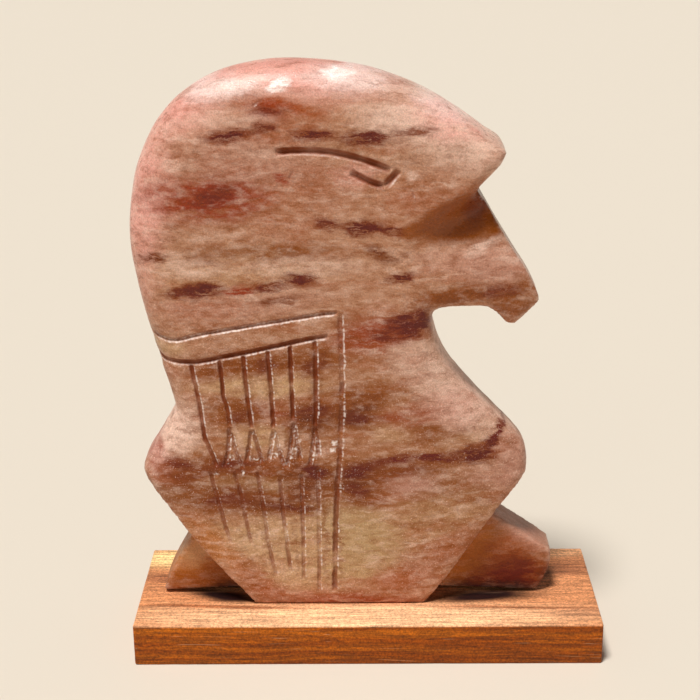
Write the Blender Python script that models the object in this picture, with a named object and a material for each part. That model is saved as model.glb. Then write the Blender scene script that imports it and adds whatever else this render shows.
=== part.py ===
"""An eagle head carved from one slab of banded stone, standing on a plain wooden board.

Metres, +Z up. The origin is the middle of the board's underside. The beak points to +X and the
carved front faces -Y. The carving is a free form: its outline and its cut lines are shares of its
own height. The slab's thickness, the board and every cut's width and depth are sizes of their own.
"""
import bmesh
import bpy
import numpy as np
from mathutils import Vector
from mathutils.geometry import delaunay_2d_cdt

# The carving, in metres
CARVING_HEIGHT = 0.1712
STONE_THICKNESS = 0.0264
FACE_BOW = 0.0013
FOOT_STEP_FRONT = 0.0086
FOOT_STEP_BACK = 0.0040
FOOT_EDGE = 0.0010

# The hollow under the brow and the thinning of the beak, in metres
BROW_HOLLOW_DEPTH = 0.0036
BROW_LIP = 0.0080
BEAK_THINNING = 0.0050

# The cut lines, in metres
EYE_CUT_WIDTH = 0.0022
EYE_CUT_DEPTH = 0.0014
BAND_CUT_WIDTH = 0.0022
BAND_CUT_DEPTH = 0.0013
LONG_CUT_WIDTH = 0.0016
LONG_CUT_DEPTH = 0.0008
FEATHER_CUT_WIDTH = 0.0012
FEATHER_CUT_DEPTH = 0.0007
BACK_CUT_SHARE = 0.7
CUT_END_SHARE = 0.08

# The wooden board, in metres: it reaches past the carving's foot by a margin on each side
BASE_THICKNESS = 0.014
BASE_MARGIN_NAPE = 0.0072
BASE_MARGIN_BEAK = 0.0140
BASE_MARGIN_SIDE = 0.0123
BASE_EDGE = 0.0007
JOINT_GAP = 0.0003

# How closely the skin of the carving is divided, in metres
OUTLINE_STEP = 0.0031
CUT_STEP = 0.0050
LEAST_CUT_PIECES = 3
BROW_STEP = 0.0030
SKIN_STEP = 0.0046
LEAST_GAP = 0.0005

# Rings inside the outline: the share of the rounding they lie at, the least roundness that needs
# them, and how close together their points may be as a share of the outline's step
RIM_RINGS = [(1.0, 0.0, 0.55), (0.5, 0.2, 0.28), (0.22, 0.35, 0.16), (0.07, 0.45, 0.16)]

# An edge's roundness is the share of half the thickness that its rounding takes. RIM_LEFT is the
# share of the half thickness that a fully round edge keeps as a narrow upright wall.
CRISP = 0.08
EASED = 0.15
RIM_LEFT = 0.08
BOW_REACH = 40.0

# The outline in runs that meet at corners: x, z in hundredths of the height, and roundness
PLATE_LEFT = [(-20.6, 0.0, CRISP), (-30.1, 11.3, CRISP), (-36.9, 20.8, 0.12), (-39.6, 24.7, 0.3)]
SHOULDER = [(-39.6, 24.7, 0.3), (-40.6, 26.6, 0.55), (-39.9, 28.6, 0.7), (-38.4, 30.8, 0.75),
            (-36.2, 34.4, 0.75), (-34.1, 38.0, 0.7)]
NAPE_AND_CROWN = [(-34.1, 38.0, 0.7), (-35.1, 42.5, 0.7), (-36.8, 48.7, 0.7), (-39.6, 60.8, 0.75),
                  (-40.8, 69.5, 0.8), (-40.2, 76.9, 0.9), (-38.8, 82.6, 0.95), (-35.5, 89.3, 0.95),
                  (-30.9, 94.4, 0.95), (-24.5, 98.1, 0.95), (-17.0, 99.8, 0.95), (-10.0, 100.0, 0.95),
                  (-1.6, 99.1, 0.95), (5.8, 97.0, 0.9), (12.6, 93.7, 0.85), (19.3, 89.0, 0.6),
                  (23.2, 85.8, 0.35), (24.2, 84.4, 0.25)]
BROW_UNDERSIDE = [(24.2, 84.4, 0.25), (23.3, 82.9, 0.2), (19.2, 78.6, 0.2)]
BEAK_RIDGE = [(19.2, 78.6, EASED), (24.9, 69.0, EASED), (29.2, 62.0, EASED), (30.9, 58.2, EASED)]
BEAK_END = [(30.9, 58.2, EASED), (26.5, 53.9, EASED), (25.2, 54.0, EASED)]
JAW = [(25.2, 54.0, EASED), (23.3, 56.2, EASED), (21.7, 57.3, EASED), (17.5, 57.6, EASED),
       (13.4, 57.5, 0.2), (12.1, 56.7, 0.3)]
THROAT_AND_CHEST = [(12.1, 56.7, 0.3), (12.0, 55.0, 0.4), (13.0, 50.8, 0.5), (14.3, 47.7, 0.5),
                    (17.0, 43.7, 0.55), (20.6, 39.7, 0.55), (24.5, 35.8, 0.6), (27.5, 32.7, 0.6),
                    (29.4, 29.8, 0.6), (29.8, 27.3, 0.5), (29.5, 24.8, 0.35), (28.0, 22.7, 0.2)]
PLATE_RIGHT = [(28.0, 22.7, 0.2), (22.9, 16.2, CRISP), (16.1, 6.2, CRISP), (11.1, 0.0, CRISP)]
PLATE_BOTTOM = [(11.1, 0.0, CRISP), (-20.6, 0.0, CRISP)]
OUTLINE_RUNS = [PLATE_LEFT, SHOULDER, NAPE_AND_CROWN, BROW_UNDERSIDE, BEAK_RIDGE, BEAK_END, JAW,
                THROAT_AND_CHEST, PLATE_RIGHT, PLATE_BOTTOM]

# The foot behind the chest plate, x and z in hundredths of the height, with its top in the slab
FOOT = [(-38.3, 0.0), (-37.8, 1.9), (-36.0, 6.0), (-32.3, 12.0), (-31.2, 17.5), (21.0, 18.0),
        (24.5, 15.5), (33.3, 9.7), (34.8, 8.3), (35.1, 6.2), (34.1, 3.2), (32.2, 0.0)]

# The brow's lower edge runs from the notch above the beak back to where it dies out on the cheek
BROW_NOTCH = (19.2, 79.2)
BROW_END = (3.5, 71.4)
BROW_LIP_CREASES = (0.0, 0.35, 0.65, 1.0)
BROW_FADE_START = 4.0
BROW_FADE_END = 18.0
HOLLOW_CENTRE = 4.8
HOLLOW_REACH = 5.6
BEAK_THINNING_START = 7.0
BEAK_THINNING_END = 31.0

# The lines cut in both faces, x and z in hundredths of the height
EYE_ARC = [(-14.7, 85.6), (-10.7, 85.8), (-5.7, 85.5), (-0.6, 84.3), (4.6, 82.4)]
EYE_LOWER = [(-2.3, 82.1), (1.0, 80.4), (3.6, 79.6)]
EYE_CORNER = [(3.4, 79.4), (5.9, 82.4)]
BAND_UPPER = [(-36.4, 52.7), (-33.2, 52.3), (-28.7, 53.3), (-21.7, 54.6), (-14.7, 55.8), (-4.5, 57.3)]
BAND_LOWER = [(-35.6, 48.4), (-32.5, 48.1), (-29.0, 48.3), (-21.9, 49.8), (-14.9, 51.4), (-6.2, 53.0)]

# The lines cut in the front alone
LONG_CUT = [(-4.3, 57.8), (-4.1, 44.6), (-4.7, 30.9), (-5.3, 20.7), (-5.9, 2.7)]

# One row a feather line: x where it leaves the band, x where it forks, then x at the top and x
# and z at the end of the line below the fork
FEATHERS = [(-30.7, -28.9, -28.2, -24.8, 12.7), (-25.6, -24.2, -23.7, -21.2, 13.9),
            (-21.4, -20.2, -19.6, -17.9, 14.0), (-17.1, -16.4, -15.6, -14.2, 9.8),
            (-13.1, -12.9, -11.7, -11.5, 8.4), (-8.7, -8.8, -8.5, -8.7, 3.7)]
FEATHER_FORK_HEIGHT = 35.8
FEATHER_TIP_HEIGHT = 28.3
FEATHER_LOWER_START = 27.0
FEATHER_TIP_GAP = 0.5


def share(value):
    """A length given in hundredths of the carving's height, in metres."""
    return np.asarray(value, float) * CARVING_HEIGHT / 100


def smooth_run(marks, step):
    """A smooth curve through the marks, with a point about every step along it."""
    marks = np.array(marks, float)
    knots = np.vstack([2 * marks[0] - marks[1], marks, 2 * marks[-1] - marks[-2]])
    points = []
    for before, start, end, after in zip(knots, knots[1:], knots[2:], knots[3:]):
        count = max(1, round(float(np.hypot(*(end - start)[:2])) / step))
        for t in np.arange(count) / count:
            points.append(0.5 * (2 * start + (end - before) * t
                                 + (2 * before - 5 * start + 4 * end - after) * t ** 2
                                 + (3 * start - before - 3 * end + after) * t ** 3))
    points.append(marks[-1])
    return np.array(points)


def carving_outline():
    """The outline's points with their roundness, counter-clockwise seen from the front."""
    points = []
    for run in OUTLINE_RUNS:
        marks = [(*share(mark[:2]), mark[2]) for mark in run]
        points.extend(smooth_run(marks, OUTLINE_STEP)[:-1])
    return np.array(points)[::-1]


def smooth_step(value):
    """0 below 0, 1 above 1 and a smooth ramp between."""
    value = np.clip(value, 0, 1)
    return value * value * (3 - 2 * value)


def distance_along(points, start, end):
    """Each point's distance from the line piece start to end, and how far along it lies."""
    way = end - start
    along = np.clip((points - start) @ way / (way @ way), 0, 1)
    gap = points - start - along[:, None] * way
    return np.hypot(gap[:, 0], gap[:, 1]), along


def line_distance(points, line):
    """Each point's distance from a line of several pieces, and its share of the line's length."""
    nearest = np.full(len(points), np.inf)
    place = np.zeros(len(points))
    pieces = len(line) - 1
    for index in range(pieces):
        distance, along = distance_along(points, line[index], line[index + 1])
        closer = distance < nearest
        nearest[closer] = distance[closer]
        place[closer] = (index + along[closer]) / pieces
    return nearest, place


def brow_directions():
    """The notch above the beak, the way back along the brow's lower edge, and the way down from it."""
    notch = share(BROW_NOTCH)
    way = share(BROW_END) - notch
    way /= np.hypot(*way)
    return notch, way, np.array([-way[1], way[0]])


def brow_and_beak(points):
    """How far the beak and the hollow under the brow lie behind the slab's face."""
    notch, way, down = brow_directions()
    below = (points - notch) @ down
    behind = (points - notch) @ way
    lip = smooth_step(below / BROW_LIP)
    fade = 1 - smooth_step((behind - share(BROW_FADE_START)) / share(BROW_FADE_END - BROW_FADE_START))
    hollow = np.exp(-((below - share(HOLLOW_CENTRE)) / share(HOLLOW_REACH)) ** 2)
    thinning = smooth_step((points[:, 0] - share(BEAK_THINNING_START))
                           / share(BEAK_THINNING_END - BEAK_THINNING_START))
    return lip * (fade * hollow * BROW_HOLLOW_DEPTH + thinning * BEAK_THINNING)


def face_depth(points, outline, cuts):
    """How far the face stands from the slab's middle plane at each point."""
    bow = FACE_BOW * (points[:, 0] / share(BOW_REACH)) ** 2
    full = STONE_THICKNESS / 2 - bow - brow_and_beak(points)
    depth = full.copy()
    for start, end in zip(outline, np.roll(outline, -1, axis=0)):
        distance, along = distance_along(points, start[:2], end[:2])
        roundness = start[2] + along * (end[2] - start[2])
        rim = full * (1 - roundness * (1 - RIM_LEFT))
        inward = np.clip(distance / (roundness * STONE_THICKNESS / 2), 0, 1)
        depth = np.minimum(depth, rim + (full - rim) * np.sqrt(1 - (1 - inward) ** 2))
    carved = np.zeros(len(points))
    for line, width, cut_depth in cuts:
        distance, place = line_distance(points, line)
        ends = smooth_step(np.minimum(place, 1 - place) / CUT_END_SHARE)
        carved = np.maximum(carved, cut_depth * ends * np.clip(1 - 2 * distance / width, 0, 1))
    return depth - carved


def feather_cuts():
    """The feather lines: each runs down from the band, forks to two tips, and starts again below."""
    band = smooth_run(share(BAND_LOWER), CUT_STEP)
    rows = [share(row) for row in FEATHERS]
    fork_height = share(FEATHER_FORK_HEIGHT)
    long_x = share(LONG_CUT[1][0])
    lines = []
    for index, (top, fork, lower_top, lower_end, lower_end_height) in enumerate(rows):
        top_height = np.interp(top, band[:, 0], band[:, 1])
        lines.append([(top, top_height), ((top + 3 * fork) / 4, (top_height + fork_height) / 2),
                      (fork, fork_height)])
        lines.append([(lower_top, share(FEATHER_LOWER_START)), (lower_end, lower_end_height)])
        next_fork = rows[index + 1][1] if index + 1 < len(rows) else long_x
        tip = (fork + next_fork) / 2
        gap = share(FEATHER_TIP_GAP)
        tip_height = share(FEATHER_TIP_HEIGHT)
        lines.append([(fork, fork_height), (tip - gap, tip_height)])
        if index + 1 < len(rows):
            lines.append([(next_fork, fork_height), (tip + gap, tip_height)])
    return lines


def cut_lines(front):
    """Every cut of one face as its line, width and depth."""
    scale = 1 if front else BACK_CUT_SHARE
    drawn = [(share(line), EYE_CUT_WIDTH, EYE_CUT_DEPTH) for line in (EYE_ARC, EYE_LOWER, EYE_CORNER)]
    drawn += [(share(line), BAND_CUT_WIDTH, BAND_CUT_DEPTH) for line in (BAND_UPPER, BAND_LOWER)]
    if front:
        drawn.append((share(LONG_CUT), LONG_CUT_WIDTH, LONG_CUT_DEPTH))
        drawn += [(line, FEATHER_CUT_WIDTH, FEATHER_CUT_DEPTH) for line in feather_cuts()]
    cuts = []
    for line, width, depth in drawn:
        reach = float(np.hypot(*(np.array(line[-1]) - line[0])))
        step = min(CUT_STEP, reach / (len(line) - 1) / LEAST_CUT_PIECES) if len(line) == 2 else CUT_STEP
        cuts.append((smooth_run(line, step), width, depth * scale))
    return cuts


class Skin:
    """The points and crease edges of one face, kept from crowding each other."""

    def __init__(self, outline):
        self.points = [tuple(point[:2]) for point in outline]
        count = len(self.points)
        self.edges = [(index, (index + 1) % count) for index in range(count)]

    def add_crease(self, line):
        first = len(self.points)
        self.points.extend(tuple(point) for point in line)
        self.edges.extend((index, index + 1) for index in range(first, first + len(line) - 1))

    def add_points(self, candidates, spacing):
        for candidate in candidates:
            gaps = np.array(self.points) - candidate
            if np.hypot(gaps[:, 0], gaps[:, 1]).min() > spacing:
                self.points.append(tuple(candidate))


def add_cuts(skin, cuts):
    """Three creases along each cut: its floor and its two edges, which meet at its ends."""
    for line, width, _ in cuts:
        way = np.gradient(line, axis=0)
        way /= np.hypot(way[:, 0], way[:, 1])[:, None]
        across = np.column_stack([-way[:, 1], way[:, 0]]) * width / 2
        skin.add_crease(line)
        for side in (across, -across):
            skin.add_crease(np.vstack([line[:1], line[1:-1] + side[1:-1], line[-1:]]))


def add_brow(skin, outline):
    """Creases along the brow's lower edge and down its lip, so that the lip is clean."""
    notch, way, down = brow_directions()
    places = np.arange(0, share(BROW_FADE_END), BROW_STEP)
    for drop in np.array(BROW_LIP_CREASES) * BROW_LIP:
        line = notch + places[:, None] * way + drop * down
        clear = inside(line, outline) & (outline_gap(line, outline) > BROW_STEP / 2)
        skin.add_crease(line[clear])


def inside(points, outline):
    """Which points lie inside the outline."""
    result = np.zeros(len(points), bool)
    for start, end in zip(outline, np.roll(outline, -1, axis=0)):
        spans = (start[1] > points[:, 1]) != (end[1] > points[:, 1])
        if start[1] != end[1]:
            crossing = start[0] + (points[:, 1] - start[1]) / (end[1] - start[1]) * (end[0] - start[0])
            result ^= spans & (points[:, 0] < crossing)
    return result


def outline_gap(points, outline):
    """Each point's distance from the outline."""
    return line_distance(points, np.vstack([outline[:, :2], outline[:1, :2]]))[0]


def rim_rings(outline):
    """Points on rings inside the outline, close together where the edge turns over."""
    way = np.roll(outline, -1, axis=0)[:, :2] - np.roll(outline, 1, axis=0)[:, :2]
    inward = np.column_stack([-way[:, 1], way[:, 0]]) / np.hypot(way[:, 0], way[:, 1])[:, None]
    reach = outline[:, 2] * STONE_THICKNESS / 2
    rings = []
    for part, least_roundness, closeness in RIM_RINGS:
        wide = outline[:, 2] >= least_roundness
        ring = outline[wide, :2] + inward[wide] * (reach[wide] * part)[:, None]
        room = (outline_gap(ring, outline) > 0.9 * reach[wide] * part) & inside(ring, outline)
        rings.append((ring[room], closeness))
    return rings


def skin_of_face(outline, cuts, front):
    """One face of the slab: its points in space and its triangles, outline points first."""
    skin = Skin(outline)
    add_cuts(skin, cuts)
    add_brow(skin, outline)
    for ring, closeness in rim_rings(outline):
        clear = np.ones(len(ring), bool)
        for line, width, _ in cuts:
            clear &= line_distance(ring, line)[0] > width
        skin.add_points(ring[clear], max(closeness * OUTLINE_STEP, LEAST_GAP))
    low = outline.min(axis=0)
    high = outline.max(axis=0)
    row_step = SKIN_STEP * np.sqrt(3) / 2
    for row, z in enumerate(np.arange(low[1], high[1], row_step)):
        xs = np.arange(low[0] + (row % 2) * SKIN_STEP / 2, high[0], SKIN_STEP)
        lattice = np.column_stack([xs, np.full(len(xs), z)])
        clear = inside(lattice, outline)
        for line, width, _ in cuts:
            clear &= line_distance(lattice, line)[0] > width
        skin.add_points(lattice[clear], SKIN_STEP * 0.72)
    flat = [Vector(point) for point in skin.points]
    rim = list(range(len(outline)))
    placed, _, triangles, _, _, _ = delaunay_2d_cdt(flat, skin.edges, [rim], 1, 1e-7)
    flat_points = np.array([tuple(point) for point in placed])
    depth = face_depth(flat_points, outline, cuts)
    side = -1 if front else 1
    in_space = np.column_stack([flat_points[:, 0], side * depth, flat_points[:, 1]])
    return in_space, triangles


def new_object(name, mesh_data, material):
    """An object in the scene with one material."""
    piece = bpy.data.objects.new(name, mesh_data)
    piece.data.materials.append(material)
    bpy.context.collection.objects.link(piece)
    return piece


def slab(outline, place, material):
    """The carved slab: a front and a back face, joined round the outline by its side wall."""
    mesh = bmesh.new()
    rims = []
    for front in (True, False):
        points, triangles = skin_of_face(outline, cut_lines(front), front)
        corners = [mesh.verts.new(Vector(point) + place) for point in points]
        for triangle in triangles:
            mesh.faces.new([corners[index] for index in triangle])
        rims.append(corners[:len(outline)])
    for index in range(len(outline)):
        after = (index + 1) % len(outline)
        mesh.faces.new([rims[0][index], rims[0][after], rims[1][after], rims[1][index]])
    bmesh.ops.recalc_face_normals(mesh, faces=mesh.faces)
    mesh_data = bpy.data.meshes.new("stone_eagle_head")
    mesh.to_mesh(mesh_data)
    mesh.free()
    mesh_data.shade_smooth()
    mesh_data.set_sharp_from_angle(angle=np.radians(35))
    return new_object("stone_eagle_head", mesh_data, material)


def foot_block(place, material):
    """The foot behind the chest plate: a block with eased edges, a guide for the join."""
    front = FOOT_STEP_FRONT - STONE_THICKNESS / 2
    depth = STONE_THICKNESS - FOOT_STEP_FRONT - FOOT_STEP_BACK
    mesh = bmesh.new()
    corners = [mesh.verts.new(Vector((x, front, z)) + place) for x, z in share(FOOT)]
    face = mesh.faces.new(corners)
    extruded = bmesh.ops.extrude_face_region(mesh, geom=[face])["geom"]
    moved = [item for item in extruded if isinstance(item, bmesh.types.BMVert)]
    bmesh.ops.translate(mesh, verts=moved, vec=(0, depth, 0))
    bmesh.ops.recalc_face_normals(mesh, faces=mesh.faces)
    standing = [edge for edge in mesh.edges
                if abs(edge.verts[0].co.y - edge.verts[1].co.y) < depth / 2
                and max(vert.co.z for vert in edge.verts) > place.z + FOOT_EDGE]
    bmesh.ops.bevel(mesh, geom=standing, offset=FOOT_EDGE, segments=2, profile=0.5, affect="EDGES")
    mesh_data = bpy.data.meshes.new("foot_guide")
    mesh.to_mesh(mesh_data)
    mesh.free()
    foot = new_object("foot_guide", mesh_data, material)
    foot.hide_render = True
    foot.display_type = "WIRE"
    return foot


def wooden_base(length, material):
    """The board: a plain block with its edges just eased."""
    depth = STONE_THICKNESS + 2 * BASE_MARGIN_SIDE
    mesh = bmesh.new()
    bmesh.ops.create_cube(mesh, size=1)
    bmesh.ops.scale(mesh, vec=(length, depth, BASE_THICKNESS), verts=mesh.verts)
    bmesh.ops.translate(mesh, vec=(0, 0, BASE_THICKNESS / 2), verts=mesh.verts)
    mesh_data = bpy.data.meshes.new("wood_base")
    mesh.to_mesh(mesh_data)
    mesh.free()
    base = new_object("wood_base", mesh_data, material)
    ease = base.modifiers.new("eased edges", "BEVEL")
    ease.width = BASE_EDGE
    ease.segments = 2
    return base


def surface(name, colour, roughness):
    """A plain finish of one colour."""
    material = bpy.data.materials.new(name)
    material.use_nodes = True
    shader = material.node_tree.nodes["Principled BSDF"]
    shader.inputs["Base Color"].default_value = (*colour, 1)
    shader.inputs["Roughness"].default_value = roughness
    return material


def build():
    for old in list(bpy.data.objects):
        bpy.data.objects.remove(old)
    stone = surface("banded stone", (0.60, 0.36, 0.27), 0.42)
    wood = surface("oiled wood", (0.52, 0.25, 0.10), 0.55)
    foot_left = float(share(min(x for x, _ in FOOT)))
    foot_right = float(share(max(x for x, _ in FOOT)))
    base_length = foot_right - foot_left + BASE_MARGIN_NAPE + BASE_MARGIN_BEAK
    place = Vector((BASE_MARGIN_NAPE - base_length / 2 - foot_left, 0, BASE_THICKNESS + JOINT_GAP))
    wooden_base(base_length, wood)
    head = slab(carving_outline(), place, stone)
    join = head.modifiers.new("foot joined to the slab", "BOOLEAN")
    join.operation = "UNION"
    join.solver = "EXACT"
    join.object = foot_block(place, stone)


build()
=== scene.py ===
# %% [markdown]
# # An eagle head cut from banded stone
# This lesson dresses a solid model of a small sculpture. The real object is two things: a slab of
# soft pink and tan stone, sawn to an eagle's outline and carved by hand, and the plain wooden board
# that it stands on. The solid model already has the true outline and sizes, so nothing here moves or
# resizes it. What the lesson adds is what a hand would feel and an eye would see: soft worn edges,
# ragged cut lines, small chips, veins in the stone and grain in the wood.
# %% Load the solid model
import math

import bpy
import numpy as np
from mathutils import Matrix, Vector, noise


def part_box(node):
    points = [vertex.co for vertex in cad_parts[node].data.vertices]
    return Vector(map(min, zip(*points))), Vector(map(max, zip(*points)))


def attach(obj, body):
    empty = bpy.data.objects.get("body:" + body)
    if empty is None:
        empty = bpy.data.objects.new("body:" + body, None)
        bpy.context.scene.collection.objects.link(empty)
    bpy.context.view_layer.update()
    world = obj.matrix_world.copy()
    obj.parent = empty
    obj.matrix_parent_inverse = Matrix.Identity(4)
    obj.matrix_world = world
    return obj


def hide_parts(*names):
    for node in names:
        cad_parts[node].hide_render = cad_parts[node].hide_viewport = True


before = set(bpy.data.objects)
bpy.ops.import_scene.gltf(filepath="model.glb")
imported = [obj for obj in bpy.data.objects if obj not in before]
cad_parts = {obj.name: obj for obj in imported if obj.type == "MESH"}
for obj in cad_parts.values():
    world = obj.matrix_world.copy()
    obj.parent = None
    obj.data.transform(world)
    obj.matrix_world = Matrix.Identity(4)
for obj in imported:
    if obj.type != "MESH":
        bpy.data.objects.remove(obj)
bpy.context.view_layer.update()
print("solid model:", ", ".join(sorted(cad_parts)))

# %% [markdown]
# ## One unit for the whole carving
# A carver marks out a sculpture against its own height. This lesson does the same: a place on the
# stone is given as two numbers, across and up, in hundredths of the carving's height. They are
# worked out from the box of the solid stone, so they would follow it if it were made larger.
# %% Places on the carving
STONE_LOW, STONE_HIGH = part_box("stone_eagle_head")
BOARD_LOW, BOARD_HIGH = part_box("wood_base")
STONE_HEIGHT = STONE_HIGH.z - STONE_LOW.z
NAPE_ACROSS = -40.8
MIDDLE_X = STONE_LOW.x - NAPE_ACROSS / 100 * STONE_HEIGHT
MILLIMETRE = 0.001


def spot(across, up, depth=0.0):
    """A place on the carving in metres: hundredths of its height across and up, and metres back."""
    return Vector((MIDDLE_X + across / 100 * STONE_HEIGHT, depth, STONE_LOW.z + up / 100 * STONE_HEIGHT))


print(f"carving {STONE_HEIGHT * 1000:.1f} mm tall, middle line at x {MIDDLE_X * 1000:.2f} mm")

# %% [markdown]
# ## The camera
# The camera stands higher than the eagle's head and looks down at it by about twenty degrees, with a
# moderate telephoto lens. It is built from three turns: a pitch, a very small yaw and a very small
# roll.
# %% Camera
CAMERA_PLACE = Vector((-0.0004, -0.4287, 0.2514))
CAMERA_PITCH = math.radians(19.93)
CAMERA_YAW = math.radians(-0.62)
CAMERA_ROLL = math.radians(-0.53)
CAMERA_LENS = 75.96
CAMERA_SENSOR = 36
NEAREST_SEEN = 0.01


def camera_turn(pitch, yaw, roll):
    """A rotation for a camera that looks along +Y, down by pitch, and then turned and rolled."""
    level = Matrix.Rotation(math.radians(90) - pitch, 4, "X")
    return Matrix.Rotation(-yaw, 4, "Z") @ level @ Matrix.Rotation(roll, 4, "Z")


camera_data = bpy.data.cameras.new("camera")
camera_data.lens = CAMERA_LENS
camera_data.sensor_width = CAMERA_SENSOR
camera_data.clip_start = NEAREST_SEEN
camera = bpy.data.objects.new("camera", camera_data)
bpy.context.scene.collection.objects.link(camera)
camera.matrix_world = Matrix.Translation(CAMERA_PLACE) @ camera_turn(CAMERA_PITCH, CAMERA_YAW, CAMERA_ROLL)
bpy.context.scene.camera = camera
print("camera at", [round(value, 4) for value in camera.location])

# %% [markdown]
# ## Working as by hand
# Blender's operators act on whatever is selected, so each step first selects one piece and nothing
# else. Modifiers are applied as soon as they are set, because the next step works on their result.
# %% Helpers for selecting and applying
def only(piece):
    """Selects one piece and nothing else, and makes it the active one."""
    bpy.ops.object.select_all(action="DESELECT")
    piece.select_set(True)
    bpy.context.view_layer.objects.active = piece


def finish_with(piece, name, kind, **settings):
    """Adds one modifier to a piece and applies it."""
    modifier = piece.modifiers.new(name, kind)
    for key, value in settings.items():
        setattr(modifier, key, value)
    only(piece)
    bpy.ops.object.modifier_apply(modifier=modifier.name)


def corners(piece):
    """The piece's vertices as an array of places."""
    flat = np.empty(len(piece.data.vertices) * 3, np.float32)
    piece.data.vertices.foreach_get("co", flat)
    return flat.reshape(-1, 3).astype(float)


def put_corners(piece, places):
    """Moves the piece's vertices to new places."""
    piece.data.vertices.foreach_set("co", places.astype(np.float32).ravel())
    piece.data.update()


def facing(piece):
    """The direction in which the surface faces at each vertex."""
    flat = np.empty(len(piece.data.vertices) * 3, np.float32)
    piece.data.vertices.foreach_get("normal", flat)
    return flat.reshape(-1, 3).astype(float)


def pick_corners(piece, chosen):
    """Selects just these vertices and goes into edit mode."""
    only(piece)
    bpy.context.tool_settings.mesh_select_mode = (True, False, False)
    piece.data.polygons.foreach_set("select", np.zeros(len(piece.data.polygons), bool))
    piece.data.edges.foreach_set("select", np.zeros(len(piece.data.edges), bool))
    piece.data.vertices.foreach_set("select", chosen)
    bpy.ops.object.mode_set(mode="EDIT")


def pick_faces(piece, chosen):
    """Selects just these faces and goes into edit mode."""
    only(piece)
    bpy.context.tool_settings.mesh_select_mode = (False, False, True)
    piece.data.vertices.foreach_set("select", np.zeros(len(piece.data.vertices), bool))
    piece.data.edges.foreach_set("select", np.zeros(len(piece.data.edges), bool))
    piece.data.polygons.foreach_set("select", chosen)
    bpy.ops.object.mode_set(mode="EDIT")


def triangles(piece):
    """How many triangles the piece is drawn with."""
    return sum(len(face.vertices) - 2 for face in piece.data.polygons)


# %% [markdown]
# ## The stone's skin
# The solid stone is made of a few thousand flat facets. Real stone that was rasped and sanded has
# none, so its skin is made anew. Edges that were left sharp are creased first, so that one
# subdivision rounds the crown and the nape but keeps the sawn corners. A voxel remesh then gives an
# even net of small faces, which shrinks back onto the rounded solid, so that no corner is lost.
# %% A fine skin over the solid stone
SKIN_NET = 1.05 * MILLIMETRE
SHARP_ANGLE = math.radians(32)
SAME_PLACE = 0.01 * MILLIMETRE
stone_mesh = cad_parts["stone_eagle_head"].data.copy()
stone = bpy.data.objects.new("carved_stone", stone_mesh)
bpy.context.scene.collection.objects.link(stone)
only(stone)
bpy.ops.object.mode_set(mode="EDIT")
bpy.ops.mesh.select_all(action="SELECT")
bpy.ops.mesh.remove_doubles(threshold=SAME_PLACE)
bpy.ops.mesh.select_all(action="DESELECT")
bpy.ops.mesh.edges_select_sharp(sharpness=SHARP_ANGLE)
bpy.ops.transform.edge_crease(value=1)
bpy.ops.object.mode_set(mode="OBJECT")
finish_with(stone, "round off", "SUBSURF", levels=1, render_levels=1)
rounded = stone.copy()
rounded.data = stone.data.copy()
bpy.context.scene.collection.objects.link(rounded)
finish_with(stone, "even net", "REMESH", mode="VOXEL", voxel_size=SKIN_NET)
finish_with(stone, "no steps", "SMOOTH", factor=0.5, iterations=2)
finish_with(stone, "no lost corners", "SHRINKWRAP", target=rounded, wrap_method="NEAREST_SURFACEPOINT")
finish_with(stone, "no kinks", "SMOOTH", factor=0.3, iterations=1)
bpy.data.objects.remove(rounded)
print("stone's skin:", triangles(stone), "triangles")

# %% [markdown]
# ## The cut lines
# The eye, the neck band and the feathers are lines that were cut with a small saw or a graver. Each
# is a list of a few places that the hand went through. The eye is deep and clean. The band's lower
# line is deeper than its upper one. The feather lines waver, fork into V-shaped tips and start again
# below, and the long line beside them was pecked more than cut. The pecks are single blows of the
# point, and the scratches are three places where it slipped.
# %% Where the lines run
EYE_LINES = [
    [(-14.7, 85.6), (-10.6, 85.8), (-5.5, 85.5), (-0.5, 84.3), (4.6, 82.4)],
    [(-2.2, 82.1), (1.1, 80.4), (3.6, 79.6)],
    [(3.5, 79.5), (6.0, 82.4)],
]
BAND_UPPER_LINE = [
    (-37.4, 53.2), (-36.2, 52.6), (-33.1, 52.2), (-28.7, 53.3),
    (-21.7, 54.6), (-14.6, 55.8), (-7.6, 57.0), (-4.5, 57.3),
]
BAND_LOWER_LINE = [
    (-36.6, 49.0), (-35.4, 48.3), (-32.4, 48.1), (-28.9, 48.2), (-25.3, 49.0),
    (-21.8, 49.7), (-14.8, 51.3), (-9.4, 52.5), (-6.3, 53.0),
]
LONG_LINE = [(-4.2, 57.2), (-4.0, 44.5), (-4.2, 37.2), (-4.5, 30.8), (-5.2, 20.6), (-5.8, 2.6)]
FEATHER_LINES = [
    [(-30.6, 48.2), (-30.1, 44.9), (-29.4, 40.8), (-29.0, 36.6), (-28.6, 33.5), (-27.9, 31.9), (-26.7, 28.1)],
    [(-25.6, 48.9), (-25.2, 45.2), (-25.0, 41.6), (-24.4, 39.5), (-24.1, 35.9)],
    [(-21.3, 49.9), (-20.9, 43.5), (-20.2, 35.6)],
    [(-17.0, 50.6), (-16.5, 41.5), (-16.3, 35.5)],
    [(-13.0, 51.6), (-12.9, 42.9), (-12.7, 37.0)],
    [(-8.6, 52.6), (-8.6, 40.3), (-8.9, 36.0)],
]
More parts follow.
